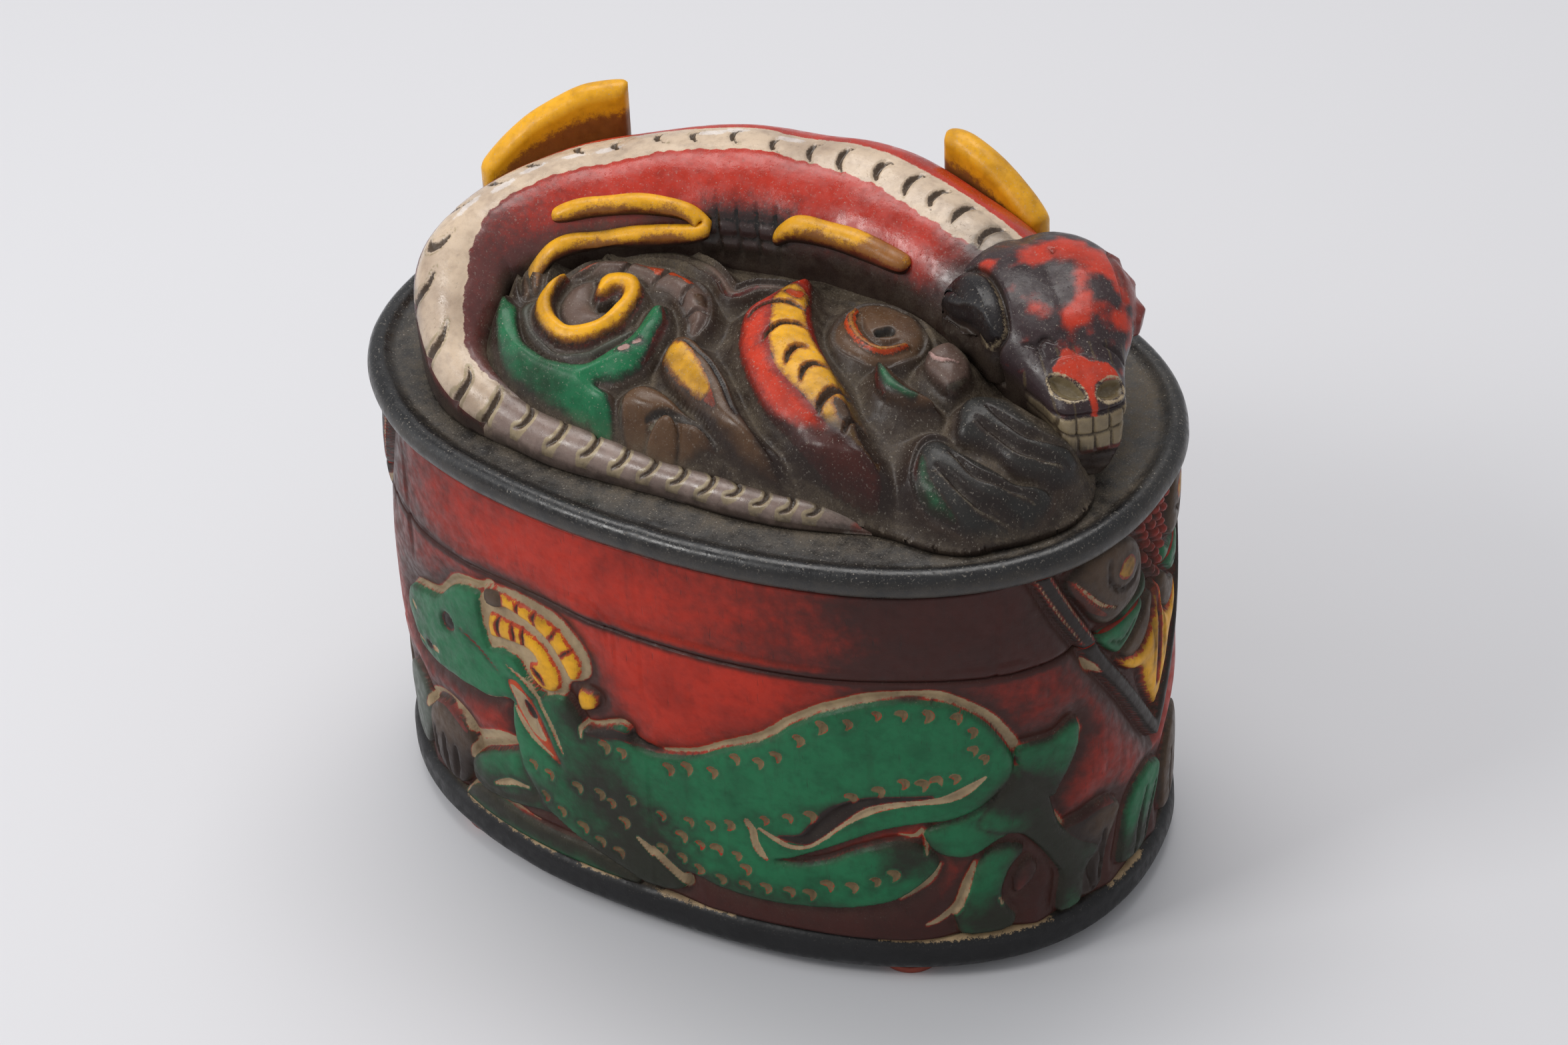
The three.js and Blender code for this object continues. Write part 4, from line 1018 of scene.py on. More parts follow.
def wall_layers(paint):
    """Coats over the red ground, in the order they are laid."""
    return [
        ("green", paint.green, 0.12, 0.08),
        ("grey", (0.085, 0.105, 0.085), 0.3, 0.3),
        ("brown", paint.umber, 0.2, 0.15),
        ("orange", paint.orange, 0.2, 0.12),
        ("yellow_rim", paint.orange, 0.5, 0.10),
        ("yellow", paint.yellow, 0.9, 0.10),
        ("redline", (0.30, 0.030, 0.020), 0.4, 0.15),
        ("black", (0.026, 0.019, 0.016), 0.5, 0.35),
        ("cream", (0.42, 0.31, 0.18), 0.45, 0.12),
        ("tan", (0.21, 0.145, 0.070), 0.6, 0.12),
    ]


def from_front(walk):
    """The walk moved into the one window that holds the drawing, which comes twice round the wall."""
    return np.mod(walk - WINDOW_START, WINDOW) + WINDOW_START


def wall_fields(mesh, walk, height, outer, ground_depth, dark):
    """Carves the drawing into a wall, writes the fields that its finish reads and gives the relief."""
    points = plan(from_front(walk), height)

    def ground(away):
        return -ground_depth * np.exp(-(away / 5.0) ** 1.2)

    drawing = outline_strokes() + wall_drawing() + end_drawing()
    relief, coats, cover, score = carve(points, drawing, ground, WALL_PAINTS, WINDOW)
    yellow = coats["yellow"]
    coats.update(yellow=yellow + 0.35, yellow_rim=yellow)
    away = np.maximum(cover, 0.0)
    # Painted shade: the sunk ground darkens beside each figure, and the figures darken along their edges and cuts.
    # The wall also darkens towards the bottom, and the spots add darker patches.
    beside = 0.80 * np.exp(-(away / 3.2)) + ease(34.0, 16.0, height) * 0.55
    soot = np.where(cover > 0, beside + blotches(points, dark["spots"], dark["base"]),
                    blotches(points, dark["figure"], 0.14) + 0.45 * np.exp(-np.maximum(score, 0.0) / 0.7))
    soot = soot * (0.25 + 0.75 * ease(-0.1, 0.5, np.minimum(coats["cream"], coats["tan"])))
    write_fields(mesh, **{name: np.where(outer, gap, FAR) for name, gap in coats.items()},
                 soot=np.clip(np.where(outer, soot, INSIDE_DARKENING), 0.0, 1.1),
                 hollow=np.clip(-relief / 1.7, 0.0, 1.0) * np.exp(-away / 2.5))
    return relief


# Stretches of the base's ledge that are knocked bare, as walks from and to
CHIPPED = ((-46, -22), (-17, -8), (0, 15), (42, 74), (88, 99))
BASE_INSET = 1.2


class CARVED_OT_base(bpy.types.Operator):
    """Turn the base moulding and its four feet"""

    bl_idname = "carved_box.base"
    bl_label = "Base and feet"

    def execute(self, context):
        edge = (BASE_TOP - BASE_BOTTOM) / 2.6
        quarter = [math.pi / 2 * turn / 8 for turn in range(1, 9)]
        profile = [(AXIS, BASE_BOTTOM), (30, BASE_BOTTOM), (BASE_INSET + edge, BASE_BOTTOM)]
        profile += [(BASE_INSET + edge * (1 - math.sin(angle)), BASE_BOTTOM + edge * (1 - math.cos(angle)))
                    for angle in quarter]
        profile += [(BASE_INSET + edge * (1 - math.cos(angle)) * 0.8, BASE_TOP - edge * 0.8 * (1 - math.sin(angle)))
                    for angle in quarter]
        profile += [(BASE_INSET + edge * 1.4, BASE_TOP), (12, BASE_TOP), (AXIS, BASE_TOP)]
        mesh, walk, inset, height, middle = turned("base_board_carved", profile, 420)
        uneven = np.clip(random_field(plan(walk, height, inset), 22.0, 5), -1, 1)
        inset = np.maximum(inset + 0.12 * uneven * (height > BASE_BOTTOM + 1), BASE_INSET)
        lay(mesh, walk, inset, height, middle)
        ledge = np.abs(height - BASE_TOP) + np.maximum(inset - 3.2, 0) * 3
        front = from_front(walk)
        chipped = np.minimum.reduce([np.maximum(low - front, front - high) for low, high in CHIPPED])
        write_fields(mesh, chip=np.maximum(ledge - 0.5, chipped * 0.4),
                     hollow=ease(2.2, 3.4, inset) * (height > BASE_TOP - 0.5))
        finish = lacquered("Black base lacquer", colours().black, [("chip", (0.40, 0.28, 0.15), 0.9, 0.15)],
                           gloss=0.40, grain=0.2, dust=0.7, fields=("hollow",), specks=0.3)
        settle("base_board_carved", mesh, "box", ["base_board"], finish)
        finish = lacquered("Foot lacquer", (0.26, 0.05, 0.03), gloss=0.5, grain=0.5)
        for corner in ("front_right", "back_right", "back_left", "front_left"):
            low, high = corners(f"foot_{corner}")
            radius = (high[0] - low[0]) / 2
            bm = bmesh.new()
            bmesh.ops.create_cone(bm, cap_ends=True, segments=48, radius1=radius * 0.92, radius2=radius,
                                  depth=high[2] - low[2])
            rims = [edge for edge in bm.edges if len(edge.link_faces) == 2 and any(
                len(face.verts) > 4 for face in edge.link_faces)]
            bmesh.ops.bevel(bm, geom=rims, offset=0.35, segments=3, profile=0.5, affect="EDGES", material=-1)
            bmesh.ops.translate(bm, verts=bm.verts, vec=(low + high) / 2)
            name = f"foot_{corner}_turned"
            settle(name, as_mesh(name, bm), "box", [f"foot_{corner}"], finish)
        return {"FINISHED"}


# Darker patches on the wall and the skirt, and painted shadow along the seam between lid and body, as (walk, height,
# reach along, reach up, amount)

SEAM_SHADOW = (0, SKIRT_BOTTOM - SEAM_GAP, 900, 0.8, 0.8)
WALL_DARK = {
    "base": 0.10,
    "spots": [
        SEAM_SHADOW, (-20, 52, 12, 10, 0.25), (-62, 62, 24, 30, 0.62), (-45, 34, 22, 10, 0.28),
        (62, 62, 20, 16, 0.42), (88, 45, 26, 30, 0.34), (-10, 50, 7, 6, 0.35), (118, 40, 20, 40, 0.4),
        (44, 66, 12, 3, 0.3), (10, 12, 80, 5, 0.35),
    ],
    "figure": [
        (-9, 34, 7, 8, 0.55), (-3, 23, 10, 9, 0.75), (-38, 18, 12, 5, 0.55), (-25, 22, 6, 6, 0.45),
        (74, 28, 9, 17, 0.95), (48, 29, 6, 5, 0.7), (-15, 44, 5, 4, 0.6), (14, 16, 26, 3, 0.42),
        (62, 13, 9, 5, 0.7), (-30, 12, 30, 3, 0.7), (-3, 13, 8, 5, 0.6), (-57, 44, 8, 12, 0.35),
        (67, 41, 6, 4, 0.8), (84, 17, 8, 7, 0.4), (-16, 30, 5, 12, 0.2), (-51, 15, 9, 6, 0.4),
        (97, 14, 9, 5, 0.7), (104, 70, 12, 14, 0.25), (35, 38, 6, 3, 0.35),
    ],
}
SKIRT_DARK = {
    "base": 0.54,
    "spots": [
        # The band at SKIRT_BOTTOM is painted shadow in the seam.
        (-16, 76, 24, 9, -0.52), (0, SKIRT_BOTTOM, 900, 0.8, 0.9), (-75, 78, 30, 30, 0.30),
        (66, 76, 22, 14, 0.80), (48, 84, 16, 5, 0.35), (100, 76, 24, 20, 0.5), (46, 70, 10, 4, 0.35),
        (-32, 70, 24, 3, 0.12), (66, 74, 5, 5, -0.28),
    ],
    "figure": [(88, 74, 12, 8, 0.2), (76, 76, 6, 12, 0.5), (100, 70, 6, 4, 0.4)],
}


def wall_rings():
    """Insets of the wall's face, inside and lip."""
    sizes = box_sizes()
    face = sizes.wall_inset / MM
    inner = face + sizes.wall_thickness / MM
    return face, inner, inner - sizes.lip_thickness / MM


def carved_band(name, low, high, share, rest, dark, roughness, seam, way, shallowest=FAR):
    """A band of the oval with the drawing cut into its face from low to high. Share thins its rows, rest
    is the profile of its other sides, dark its darker patches and painted seam shadow, roughness the (amount, lump
    size, seed) of its unevenness, and its edge at the seam is rounded, with the band lying up (1) or down (-1) from
    it."""
    sizes = box_sizes()
    coarse = 1
    face = wall_rings()[0]
    rows = sizes.relief_rows // (share * coarse)
    profile = [(face, blend(low, high, i / rows)) for i in range(rows + 1)] + rest
    profile.append(profile[0])
    mesh, walk, inset, height, middle = turned(name, profile, sizes.relief_columns // coarse, crowd=0.30)
    outer = inset < face + 0.01
    relief = wall_fields(mesh, walk, np.clip(height, low, high), outer, sizes.ground_depth / MM, dark)
    relief = np.where(relief < shallowest, relief, 0.0)
    amount, lump, seed = roughness
    uneven = amount * np.clip(random_field(plan(walk, height, inset), lump, seed), -1.5, 1.5)
    soft = ease(seam - way * 0.01, seam + way * 0.8, height)
    sunk = np.where(outer, np.maximum(-relief + 0.12 + uneven + 0.25 * (1 - soft), 0.0), 0.0)
    lay(mesh, walk, inset + sunk, height, middle)
    return mesh


def band_lacquer(name, **settings):
    paint = colours()
    return lacquered(name, paint.red, wall_layers(paint), gloss=0.36, fields=LACQUER_FIELDS, specks=0.25,
                     shine=0.22, **settings)


class CARVED_OT_wall(bpy.types.Operator):
    """Carve the creature and the end pendants round the body"""

    bl_idname = "carved_box.wall"
    bl_label = "Body wall"

    def execute(self, context):
        face, inner, lip = wall_rings()
        seam = LIP_TOP - box_sizes().lip_height / MM
        rest = [(lip, seam), (lip, LIP_TOP - 0.6), (lip + 0.6, LIP_TOP), (inner, LIP_TOP), (inner, WALL_BOTTOM)]
        mesh = carved_band("box_wall_carved", WALL_BOTTOM, seam, 1, rest, WALL_DARK, (0.10, 18.0, 3), seam, -1)
        settle("box_wall_carved", mesh, "box", ["box_wall"],
               band_lacquer("Carved wall lacquer", grain=0.55, dust=0.35))
        return {"FINISHED"}


class CARVED_OT_skirt(bpy.types.Operator):
    """Make the lid's skirt with the upper half of the end pendants"""

    bl_idname = "carved_box.skirt"
    bl_label = "Lid skirt"

    def execute(self, context):
        face, inner, lip = wall_rings()
        lip -= SEAM_GAP
        rebate = LIP_TOP + SEAM_GAP
        rest = [(inner, SKIRT_TOP), (inner, rebate), (lip, rebate), (lip, SKIRT_BOTTOM)]
        mesh = carved_band("lid_skirt_carved", SKIRT_BOTTOM, SKIRT_TOP, 3, rest, SKIRT_DARK, (0.08, 20.0, 9),
                           SKIRT_BOTTOM, 1, shallowest=-0.02)
        settle("lid_skirt_carved", mesh, "lid", ["lid_skirt"],
               band_lacquer("Carved skirt lacquer", grain=0.7, dust=0.3))
        return {"FINISHED"}


# The lid: board, beast and scrolls


def at(u, v):
    """A place on the lid as shares of its half length and half width."""
    return u * HALF_LENGTH, v * HALF_WIDTH


# The axis of the back, nose to tail, as (u, v, share of the rise, share of the girth)

BEAST_LINE = [
    (0.60, 0.22, 0.70, 0.70), (0.48, 0.36, 0.78, 0.86), (0.23, 0.47, 0.94, 0.95), (0, 0.47, 1, 1),
    (-0.25, 0.377, 1, 0.95), (-0.473, 0.215, 0.94, 0.86), (-0.637, 0, 0.83, 0.71), (-0.704, -0.225, 0.67, 0.52),
    (-0.672, -0.40, 0.42, 0.32), (-0.605, -0.54, 0.16, 0.15), (-0.50, -0.615, 0.03, 0.09),
    (-0.40, -0.652, -0.02, 0.06), (-0.28, -0.675, -0.05, 0.03), (-0.148, -0.685, -0.08, -0.01),
    (0, -0.69, -0.09, -0.035), (0.13, -0.69, -0.10, -0.045), (0.263, -0.68, -0.12, -0.08),
    (0.361, -0.652, -0.15, -0.13), (0.455, -0.622, -0.20, -0.2), (0.53, -0.61, -0.25, -0.3),
]
# The pale stripe's two edges and the cuts in it, as (walk down the back, place across it)

STRIPE_INNER = [
    (0, -1.5), (10, -2.8), (14, -4.4), (19, -5.4), (28, -5.6), (33, -5.3), (38, -4.5), (45, -4.4), (52, -4),
    (59, -2.8), (73, -2.6), (85, -3.5), (97, -2.8), (108, -1.8), (116, -2.5), (128, -1.3), (138, 0), (150, -1),
    (160, -2.4), (230, -2.6),
]
STRIPE_OUTER = [
    (0, 3), (10, 4.2), (20, 4.2), (27, 3.5), (37, 3.7), (48, 3.3), (58, 4.1), (60, 5), (67, 4.6), (77, 5.4),
    (92, 7.5), (106, 8), (123, 8.2), (140, 8), (155, 8), (230, 8),
]
NOTCHES = [
    (9.5, -0.4), (13.5, -0.7), (20.1, -0.6), (25.7, -1.1), (31.2, -0.9), (37.5, -1.2), (44.6, -1.4), (50.6, -1),
    (57.6, -0.6), (65, 1), (72.1, 1.5), (78.3, 1.7), (85.7, 2), (91.9, 4), (99.7, 4.5), (106, 5), (112.3, 6.4),
    (118.2, 4.4), (123.2, 6.2), (130.9, 4.5), (138.9, 3.4), (145, 2.6), (152, 1.6), (159, 1.4), (165.5, 1.2),
    (171.5, 1.2), (177, 1.1), (182.6, 1), (188, 0.9), (193, 0.8), (198, 0.7), (202.6, 0.6), (207, 0.5),
]


PINK_DABS = [(66, 3.2), (70, 2.5), (88, 1), (94, 1.5), (101, 2.2), (107, 1.5), (113, 3), (56, 2)]

# Reach and half width of the cuts along the back, by how far down the back they lie

CUT_WALK = (0, 40, 62, 90, 130, 160, 216)
CUT_REACH = (3.4, 3.0, 2.0, 2.2, 2.4, 2.3, 1.8)
CUT_WIDTH = (0.75, 0.7, 0.5, 0.6, 0.65, 0.5, 0.4)


def notch_gap(walk, lateral, rng):
    """Distance to the nearest of the crescent cuts along the back."""
    gap = np.full(len(walk), FAR)
    for s, place in NOTCHES:
        reach, width = np.interp(s, CUT_WALK, CUT_REACH), np.interp(s, CUT_WALK, CUT_WIDTH)
        reach *= rng.uniform(0.85, 1.15)
        lean = rng.uniform(-0.5, 0.7)
        arc = [(s + lean - 0.4, place - reach, 0.1), (s + 0.9, place - reach * 0.45, 0.8 * width),
               (s + 1.2, place + reach * 0.2, width), (s + 0.7, place + reach * 0.75, 0.7 * width),
               (s - 0.6, place + reach * 1.05, 0.1)]
        near = np.abs(walk - s) < 9
        if near.any():
            gap[near] = np.minimum(gap[near], Mark(arc).distance(plan(walk[near], lateral[near])))
    return gap


class CARVED_OT_board(bpy.types.Operator):
    """Turn the lid board with its raised bullnose rim"""

    bl_idname = "carved_box.board"
    bl_label = "Lid board"

    def execute(self, context):
        bottom = BOARD_BOTTOM
        crest = RIM_CREST
        profile = [
            (AXIS, bottom), (40, bottom), (2.2, bottom), (1.2, bottom + 0.06), (0.5, bottom + 0.5),
            (0.14, bottom + 1.2), (0, bottom + 2.0), (0.02, bottom + 2.7), (0.22, bottom + 3.5),
            (0.62, bottom + 4.2), (1.2, bottom + 4.7), (1.85, bottom + 4.95), (2.5, crest), (3.0, crest - 0.1),
            (3.5, bottom + 4.55), (4.0, bottom + 4.15), (4.6, BOARD_TOP + 0.3), (5.1, BOARD_TOP + 0.06),
            (5.6, BOARD_TOP), (12, BOARD_TOP), (25, BOARD_TOP), (AXIS, BOARD_TOP),
        ]
        mesh, walk, inset, height, middle = turned("lid_board_carved", profile, 520)
        places = plan(walk, height, inset)
        uneven = 0.14 * np.clip(random_field(places, 26.0, 11), -1, 1) - 0.14
        height = np.where(height > bottom + 2.2, height + uneven * ease(6.5, 4.5, inset), height)
        uneven = 0.1 + 0.1 * np.clip(random_field(places, 19.0, 12), -1, 1)
        inset = np.where(inset < 6, np.maximum(inset + uneven, 0.0), inset)
        lay(mesh, walk, inset, height, middle)
        inner_edge = np.abs(inset - 3.9) + np.where(height > bottom + 3, 0.0, 9.0)
        write_fields(mesh, hollow=ease(3.6, 5.4, inset) * (height > bottom + 2),
                     worn=np.exp(-inner_edge / 0.5))
        finish = lacquered("Black rim lacquer", colours().black, gloss=0.24, grain=0.15, dust=0.75, specks=1.0,
                           wear=0.75, worn_to=(0.30, 0.24, 0.15), fields=("hollow",), shine=0.5)
        settle("lid_board_carved", mesh, "lid", ["lid_board"], finish)
        return {"FINISHED"}


class CARVED_OT_beast(bpy.types.Operator):
    """Carve the beast's body with the stripe and cuts along its back"""

    bl_idname = "carved_box.beast"
    bl_label = "Beast body"

    def execute(self, context):
        sizes = carving_sizes()
        paint = colours()
        stations = []
        for u, v, lift, girth in BEAST_LINE:
            half = blend(sizes.tail_half_width, sizes.body_half_width, girth) / MM
            rise = blend(sizes.tail_rise, sizes.body_rise, lift) / MM
            stations.append((*at(u, v), BOARD_TOP + rise, half, half))
        around, along = ((112, 620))
        mesh, places, way = swept("beast_body_carved", stations, around, along, DEEP_FLOOR)
        walk, half, outward = way.walk, way.half, -way.across
        lateral = outward * half
        up = np.cos(way.turn)
        top = ease(-0.15, 0.35, up)
        inner = np.interp(walk, *np.array(STRIPE_INNER).T) + 0.15 * np.sin(walk * 0.9) + 0.12 * np.sin(walk * 2.3 + 1)
        outer = np.interp(walk, *np.array(STRIPE_OUTER).T)
        stripe = np.maximum(inner - lateral, lateral - outer)
        stripe = np.where(up > np.where(walk > 145, -0.75, 0.0), stripe, FAR)
        stripe = np.maximum(stripe, 8.0 - walk)
        notch = np.where(up > 0, notch_gap(walk, lateral, np.random.default_rng(21)), FAR)
        push = -1.0 * ease(0.12, -0.5, notch) - 0.2 * ease(0.5, -0.6, stripe) * top
        push = push - 0.15 * np.exp(-(stripe / 0.6) ** 2) * top
        x, y, z = places.T
        hatch = np.minimum(np.abs(((x + 0.25 * z) / 3.4) % 1.0 - 0.5) * 3.4, np.abs((z / 3.0) % 1.0 - 0.5) * 3.0)
        patch = np.maximum.reduce([np.abs(x + 8.5) - 8.0, np.abs(z - BOARD_TOP - 22.5) - 5.5, outward * 9])
        push = push - 0.5 * ease(0.5, 0.2, hatch) * ease(0.0, -1.5, patch)
        facet = 0.35 * np.clip(random_field(plan(walk, lateral * 1.3, 0.0), 17.0, 22), -1.6, 1.6)
        push = push + facet * ease(0, 6, half)
        axis_line = curve_through(stations, 1601)
        travel = travel_along(axis_line)
        axis_line[:, 2] -= axis_line[:, 4]
        away = places - plan(*(np.interp(walk, travel, axis_line[:, axis]) for axis in range(3)))
        away[:, 2] = np.maximum(away[:, 2], 0)
        away /= np.maximum(np.linalg.norm(away, axis=1), 1e-6)[:, None]
        places = places + away * push[:, None]
        places[:, 2] = np.maximum(places[:, 2], CARVING_SEAT)
        write_places(mesh, places)
        pink = np.minimum.reduce([np.hypot((walk - s) / 2.6, (lateral - p) / 0.9) for s, p in PINK_DABS])
        # Painted shade: the flanks darken, the inner one most, as do the cuts along the back and the neck beside the
        # head. The body also darkens towards the tail.
        side = np.clip((np.abs(way.turn) - 0.9) / 0.9, 0, 1)
        inner_side = np.where(outward < 0, side, 0.0)
        soot = 0.05 + 0.65 * inner_side ** 1.3 + 0.55 * (side - inner_side)
        soot = soot + 0.30 * np.exp(-np.abs(notch - 0.4) / 0.6)
        soot = soot + 0.95 * ease(30, 6, walk) * (outward < 0.2) + 0.25 * ease(130, 190, walk)
        write_fields(
            mesh, stripe=stripe, notch=notch, pink=(pink - 1.0) * 1.5, patch=patch,
            bloom=2.4 - 10.0 * inner_side - 5.0 * ease(85, 125, walk),
            dull=np.maximum(stripe, (146.0 - walk) / 4.0),
            nick=np.abs(notch - 0.35) - np.interp(walk, (110, 125, 150), (0.06, 0.15, 0.32)),
            point=way.length - 6.5 - walk,
            hatch=np.maximum(hatch - 0.3, patch + 1.0),
            soot=np.clip(np.where(stripe < 0, 0.6 * soot, soot), 0, 1.05),
        )
        finish = lacquered("Beast body lacquer", paint.red, [
            ("bloom", (0.125, 0.036, 0.032), 3.0, 2.8),
            ("patch", (0.050, 0.026, 0.024), 2.2, 2.2),
            ("hatch", (0.010, 0.007, 0.006), 0.5, 0.15),
            ("stripe", paint.silver, 0.5, 0.12),
            ("pink", (0.74, 0.66, 0.60), 1.4, 0.3),
            ("dull", (0.27, 0.195, 0.165), 0.9, 0.5),
            ("point", (0.45, 0.05, 0.03), 1.2, 0.6),
            ("nick", (0.42, 0.33, 0.20), 0.25, 0.1),
            ("notch", (0.085, 0.052, 0.028), 0.3, 0.12),
        ], gloss=0.23, grain=0.2, fields=LACQUER_FIELDS, dust=0.5, specks=0.8, shine=0.5)
        settle("beast_body_carved", mesh, "lid", ["beast_body"], finish)
        return {"FINISHED"}


# Crests of the legs as (u, v, rise over the board): the near ones lie on the flank, the far ones
# come up from the board

NEAR_LEGS = {
    "leg_near_hind": [
        (-0.54, -0.08, 28), (-0.44, 0, 29.5), (-0.33, 0.07, 30), (-0.235, 0.11, 29), (-0.20, 0.10, 26.8),
        (-0.30, 0.03, 25.3), (-0.43, -0.05, 24.5), (-0.52, -0.15, 22.5), (-0.555, -0.24, 17.5),
    ],
    "leg_near_fore": [
        (-0.05, 0.19, 25.5), (0, 0.20, 27.8), (0.09, 0.215, 28), (0.19, 0.215, 27.3), (0.30, 0.20, 26.5),
    ],
}
FAR_LEGS = {
    "leg_far_hind": [(-0.87, 0.24, 20), (-0.77, 0.37, 28.5), (-0.67, 0.49, 33), (-0.58, 0.57, 33.8)],
    "leg_far_fore": [(0.21, 0.76, 34), (0.27, 0.74, 33.5), (0.38, 0.70, 30.5), (0.50, 0.63, 25)],
}
LEG_HALF = {"leg_near_hind": 1.8, "leg_near_fore": 2.3, "leg_far_hind": 2.7, "leg_far_fore": 2.7}
LEG_CENTRE = 2.7


def crest_along(places, walk):
    """The height of a member's crest along its way."""
    steps = np.linspace(walk.min(), walk.max(), 25)
    near = [np.abs(walk - step) < (steps[1] - steps[0]) for step in steps]
    return steps, [places[mask, 2].max() for mask in near]


def rounded_ends(stations, deep):
    """Stations of even size with both ends brought in to a blunt, carved tip, which drops less on a deep
    member."""
    member = np.array(stations)
    ends = []
    for tip, inner in ((member[0], member[1]), (member[-1], member[-2])):
        reach = np.linalg.norm(inner[:3] - tip[:3])
        rows = []
        for step, size in ((0.0, 0.25), (0.18, 0.62), (0.5, 0.86)):
            row = blend(tip, inner, min(step * tip[3] / reach, 0.5))
            row[3:] *= size
            row[2] -= tip[3] * (1 - size) * (0.35 if deep else 0.8)
            rows.append(row)
        ends.append(rows)
    return [*ends[0], *member[1:-1], *ends[1][::-1]]


class CARVED_OT_legs(bpy.types.Operator):
    """Carve the four legs"""

    bl_idname = "carved_box.legs"
    bl_label = "Legs"

    def execute(self, context):
        finish = lacquered("Leg lacquer", colours().yellow, [
            ("flank", (0.30, 0.115, 0.024), 2.6, 1.0),
            ("ridge", (0.17, 0.035, 0.016), 1.8, 0.6),
        ], gloss=0.30, grain=0.3, fields=LACQUER_FIELDS, dust=0.7, specks=0.8)
        for node, member in {**NEAR_LEGS, **FAR_LEGS}.items():
            deep = node in FAR_LEGS
            half = LEG_HALF[node]
            stations = rounded_ends([(*at(u, v), BOARD_TOP + rise - LEG_CENTRE + half, half, half)
                                     for u, v, rise in member], deep)
            mesh, places, way = swept(node + "_carved", stations, 48, 150, DEEP_FLOOR if deep else None)
            walk = way.walk
            up = np.cos(way.turn)
            wander = random_field(plan(walk, 0.0, 0.0), 9.0, len(node))
            places[:, 2] = np.maximum(places[:, 2] + 0.35 * wander * (up > -0.2), CARVING_SEAT)
            write_places(mesh, places)
            # Painted shade: the flank coat turns the legs' sides and lower parts brown, and the dark field darkens
            # the far legs lower down towards the board and the near legs on their undersides.
            if deep:
                fall = np.interp(walk, *crest_along(places, walk)) - places[:, 2]
                flank = 5.2 - fall
                ridge = np.minimum(13.0 - fall, np.where(way.across > 0, 6.0 - fall, FAR))
                soot = ease(7.0, 15.0, fall) * 0.6
            else:
                fading = 2.5 * ease(0.45, 0.8, walk / way.length) if node == "leg_near_fore" else 0.0
                flank = (up - 0.45) * 3.0 + 0.8 * np.sin(walk * 0.5) - fading
                ridge = (up + 0.15) * 3.0 - 0.4 * fading
                soot = ease(0.25, -0.6, up) * 0.9
            write_fields(mesh, flank=flank, ridge=ridge, soot=np.clip(soot, 0, 1))
            settle(node + "_carved", mesh, "lid", [node], finish)
        return {"FINISHED"}


# The scroll bed seen from above: its rim, then the outlines and strokes cut into it

MOUND = [
    (-47, -18), (-43.5, -27), (-37, -32), (-25, -35.2), (-5, -36), (15, -36), (27, -34.6), (34, -33.2), (40, -32.6),
    (48, -32.8), (54, -31), (58, -27), (62, -23), (66, -16), (66, -8), (61, 0), (50, 5), (42, 9), (30, 13), (10, 16),
    (-15, 15), (-32, 10), (-44, 0), (-48, -10),
]
WING = [
    (-16.1, -15), (-15.4, -12.2), (-13.6, -12), (-11.6, -14.4), (-10.5, -18), (-11.1, -24.5), (-13.8, -28.6),
    (-17.3, -30), (-14, -31.6), (-11.6, -34), (-12, -37.4), (-15, -38.3), (-24, -37.4), (-31, -36), (-37, -33),
    (-41.5, -28.4), (-43.8, -22), (-43.4, -17.2), (-41, -18.4), (-38, -20), (-35.4, -23.6), (-31, -26.6),
    (-26, -27.5), (-21, -26.2), (-17.6, -22.4), (-16.2, -18.5),
]
WING_LINE = [(-43, -18.5), (-42, -22.5), (-39.4, -27), (-34.5, -31.4), (-29, -33), (-22, -34.2), (-16.5, -34.9)]
WING_GROOVE = [(-37, -21.6), (-34, -25), (-30, -27), (-25, -27.6), (-20.4, -26.2), (-17.2, -23.2), (-15.4, -19.5)]
PETAL_IN = [
    (-38.5, -19.5), (-36.8, -16), (-35.6, -19), (-31.4, -23.4), (-27, -25.4), (-22, -23.4), (-18.6, -19),
    (-16.4, -17), (-16.6, -20.6), (-20.4, -25.2), (-25.5, -27), (-30.5, -26.3), (-35.4, -23.2),
]
BIG_BAND = [
    (-25.7, -12.6, 1.1), (-25.3, -9.6, 2.2), (-22.2, -9.3, 2.2), (-20.2, -12, 1.8), (-20.1, -15.6, 1.6),
    (-21.2, -19.2, 1.7), (-24, -22, 1.8), (-27.6, -23.1, 1.7), (-31.4, -21.5, 1.7), (-34.2, -18, 1.7),
    (-34.9, -14.6, 1.3), (-34, -11, 0.5),
]
BIG_DISH = [
    (-22.8, -16), (-23.8, -19), (-27, -21.2), (-30.6, -19.6), (-32.8, -15.6), (-32.4, -11.4), (-29.6, -9),
    (-27.6, -11.4), (-25.4, -15.4),
]
ARCH = [
    (-33, -9.6, 1.5), (-30.5, -6.7, 2.2), (-26, -4.9, 2.4), (-20, -4.5, 2.6), (-14, -5.4, 2.8), (-9.6, -8.2, 2.4),
    (-7, -12, 1.6), (-6.4, -15, 0.8),
]
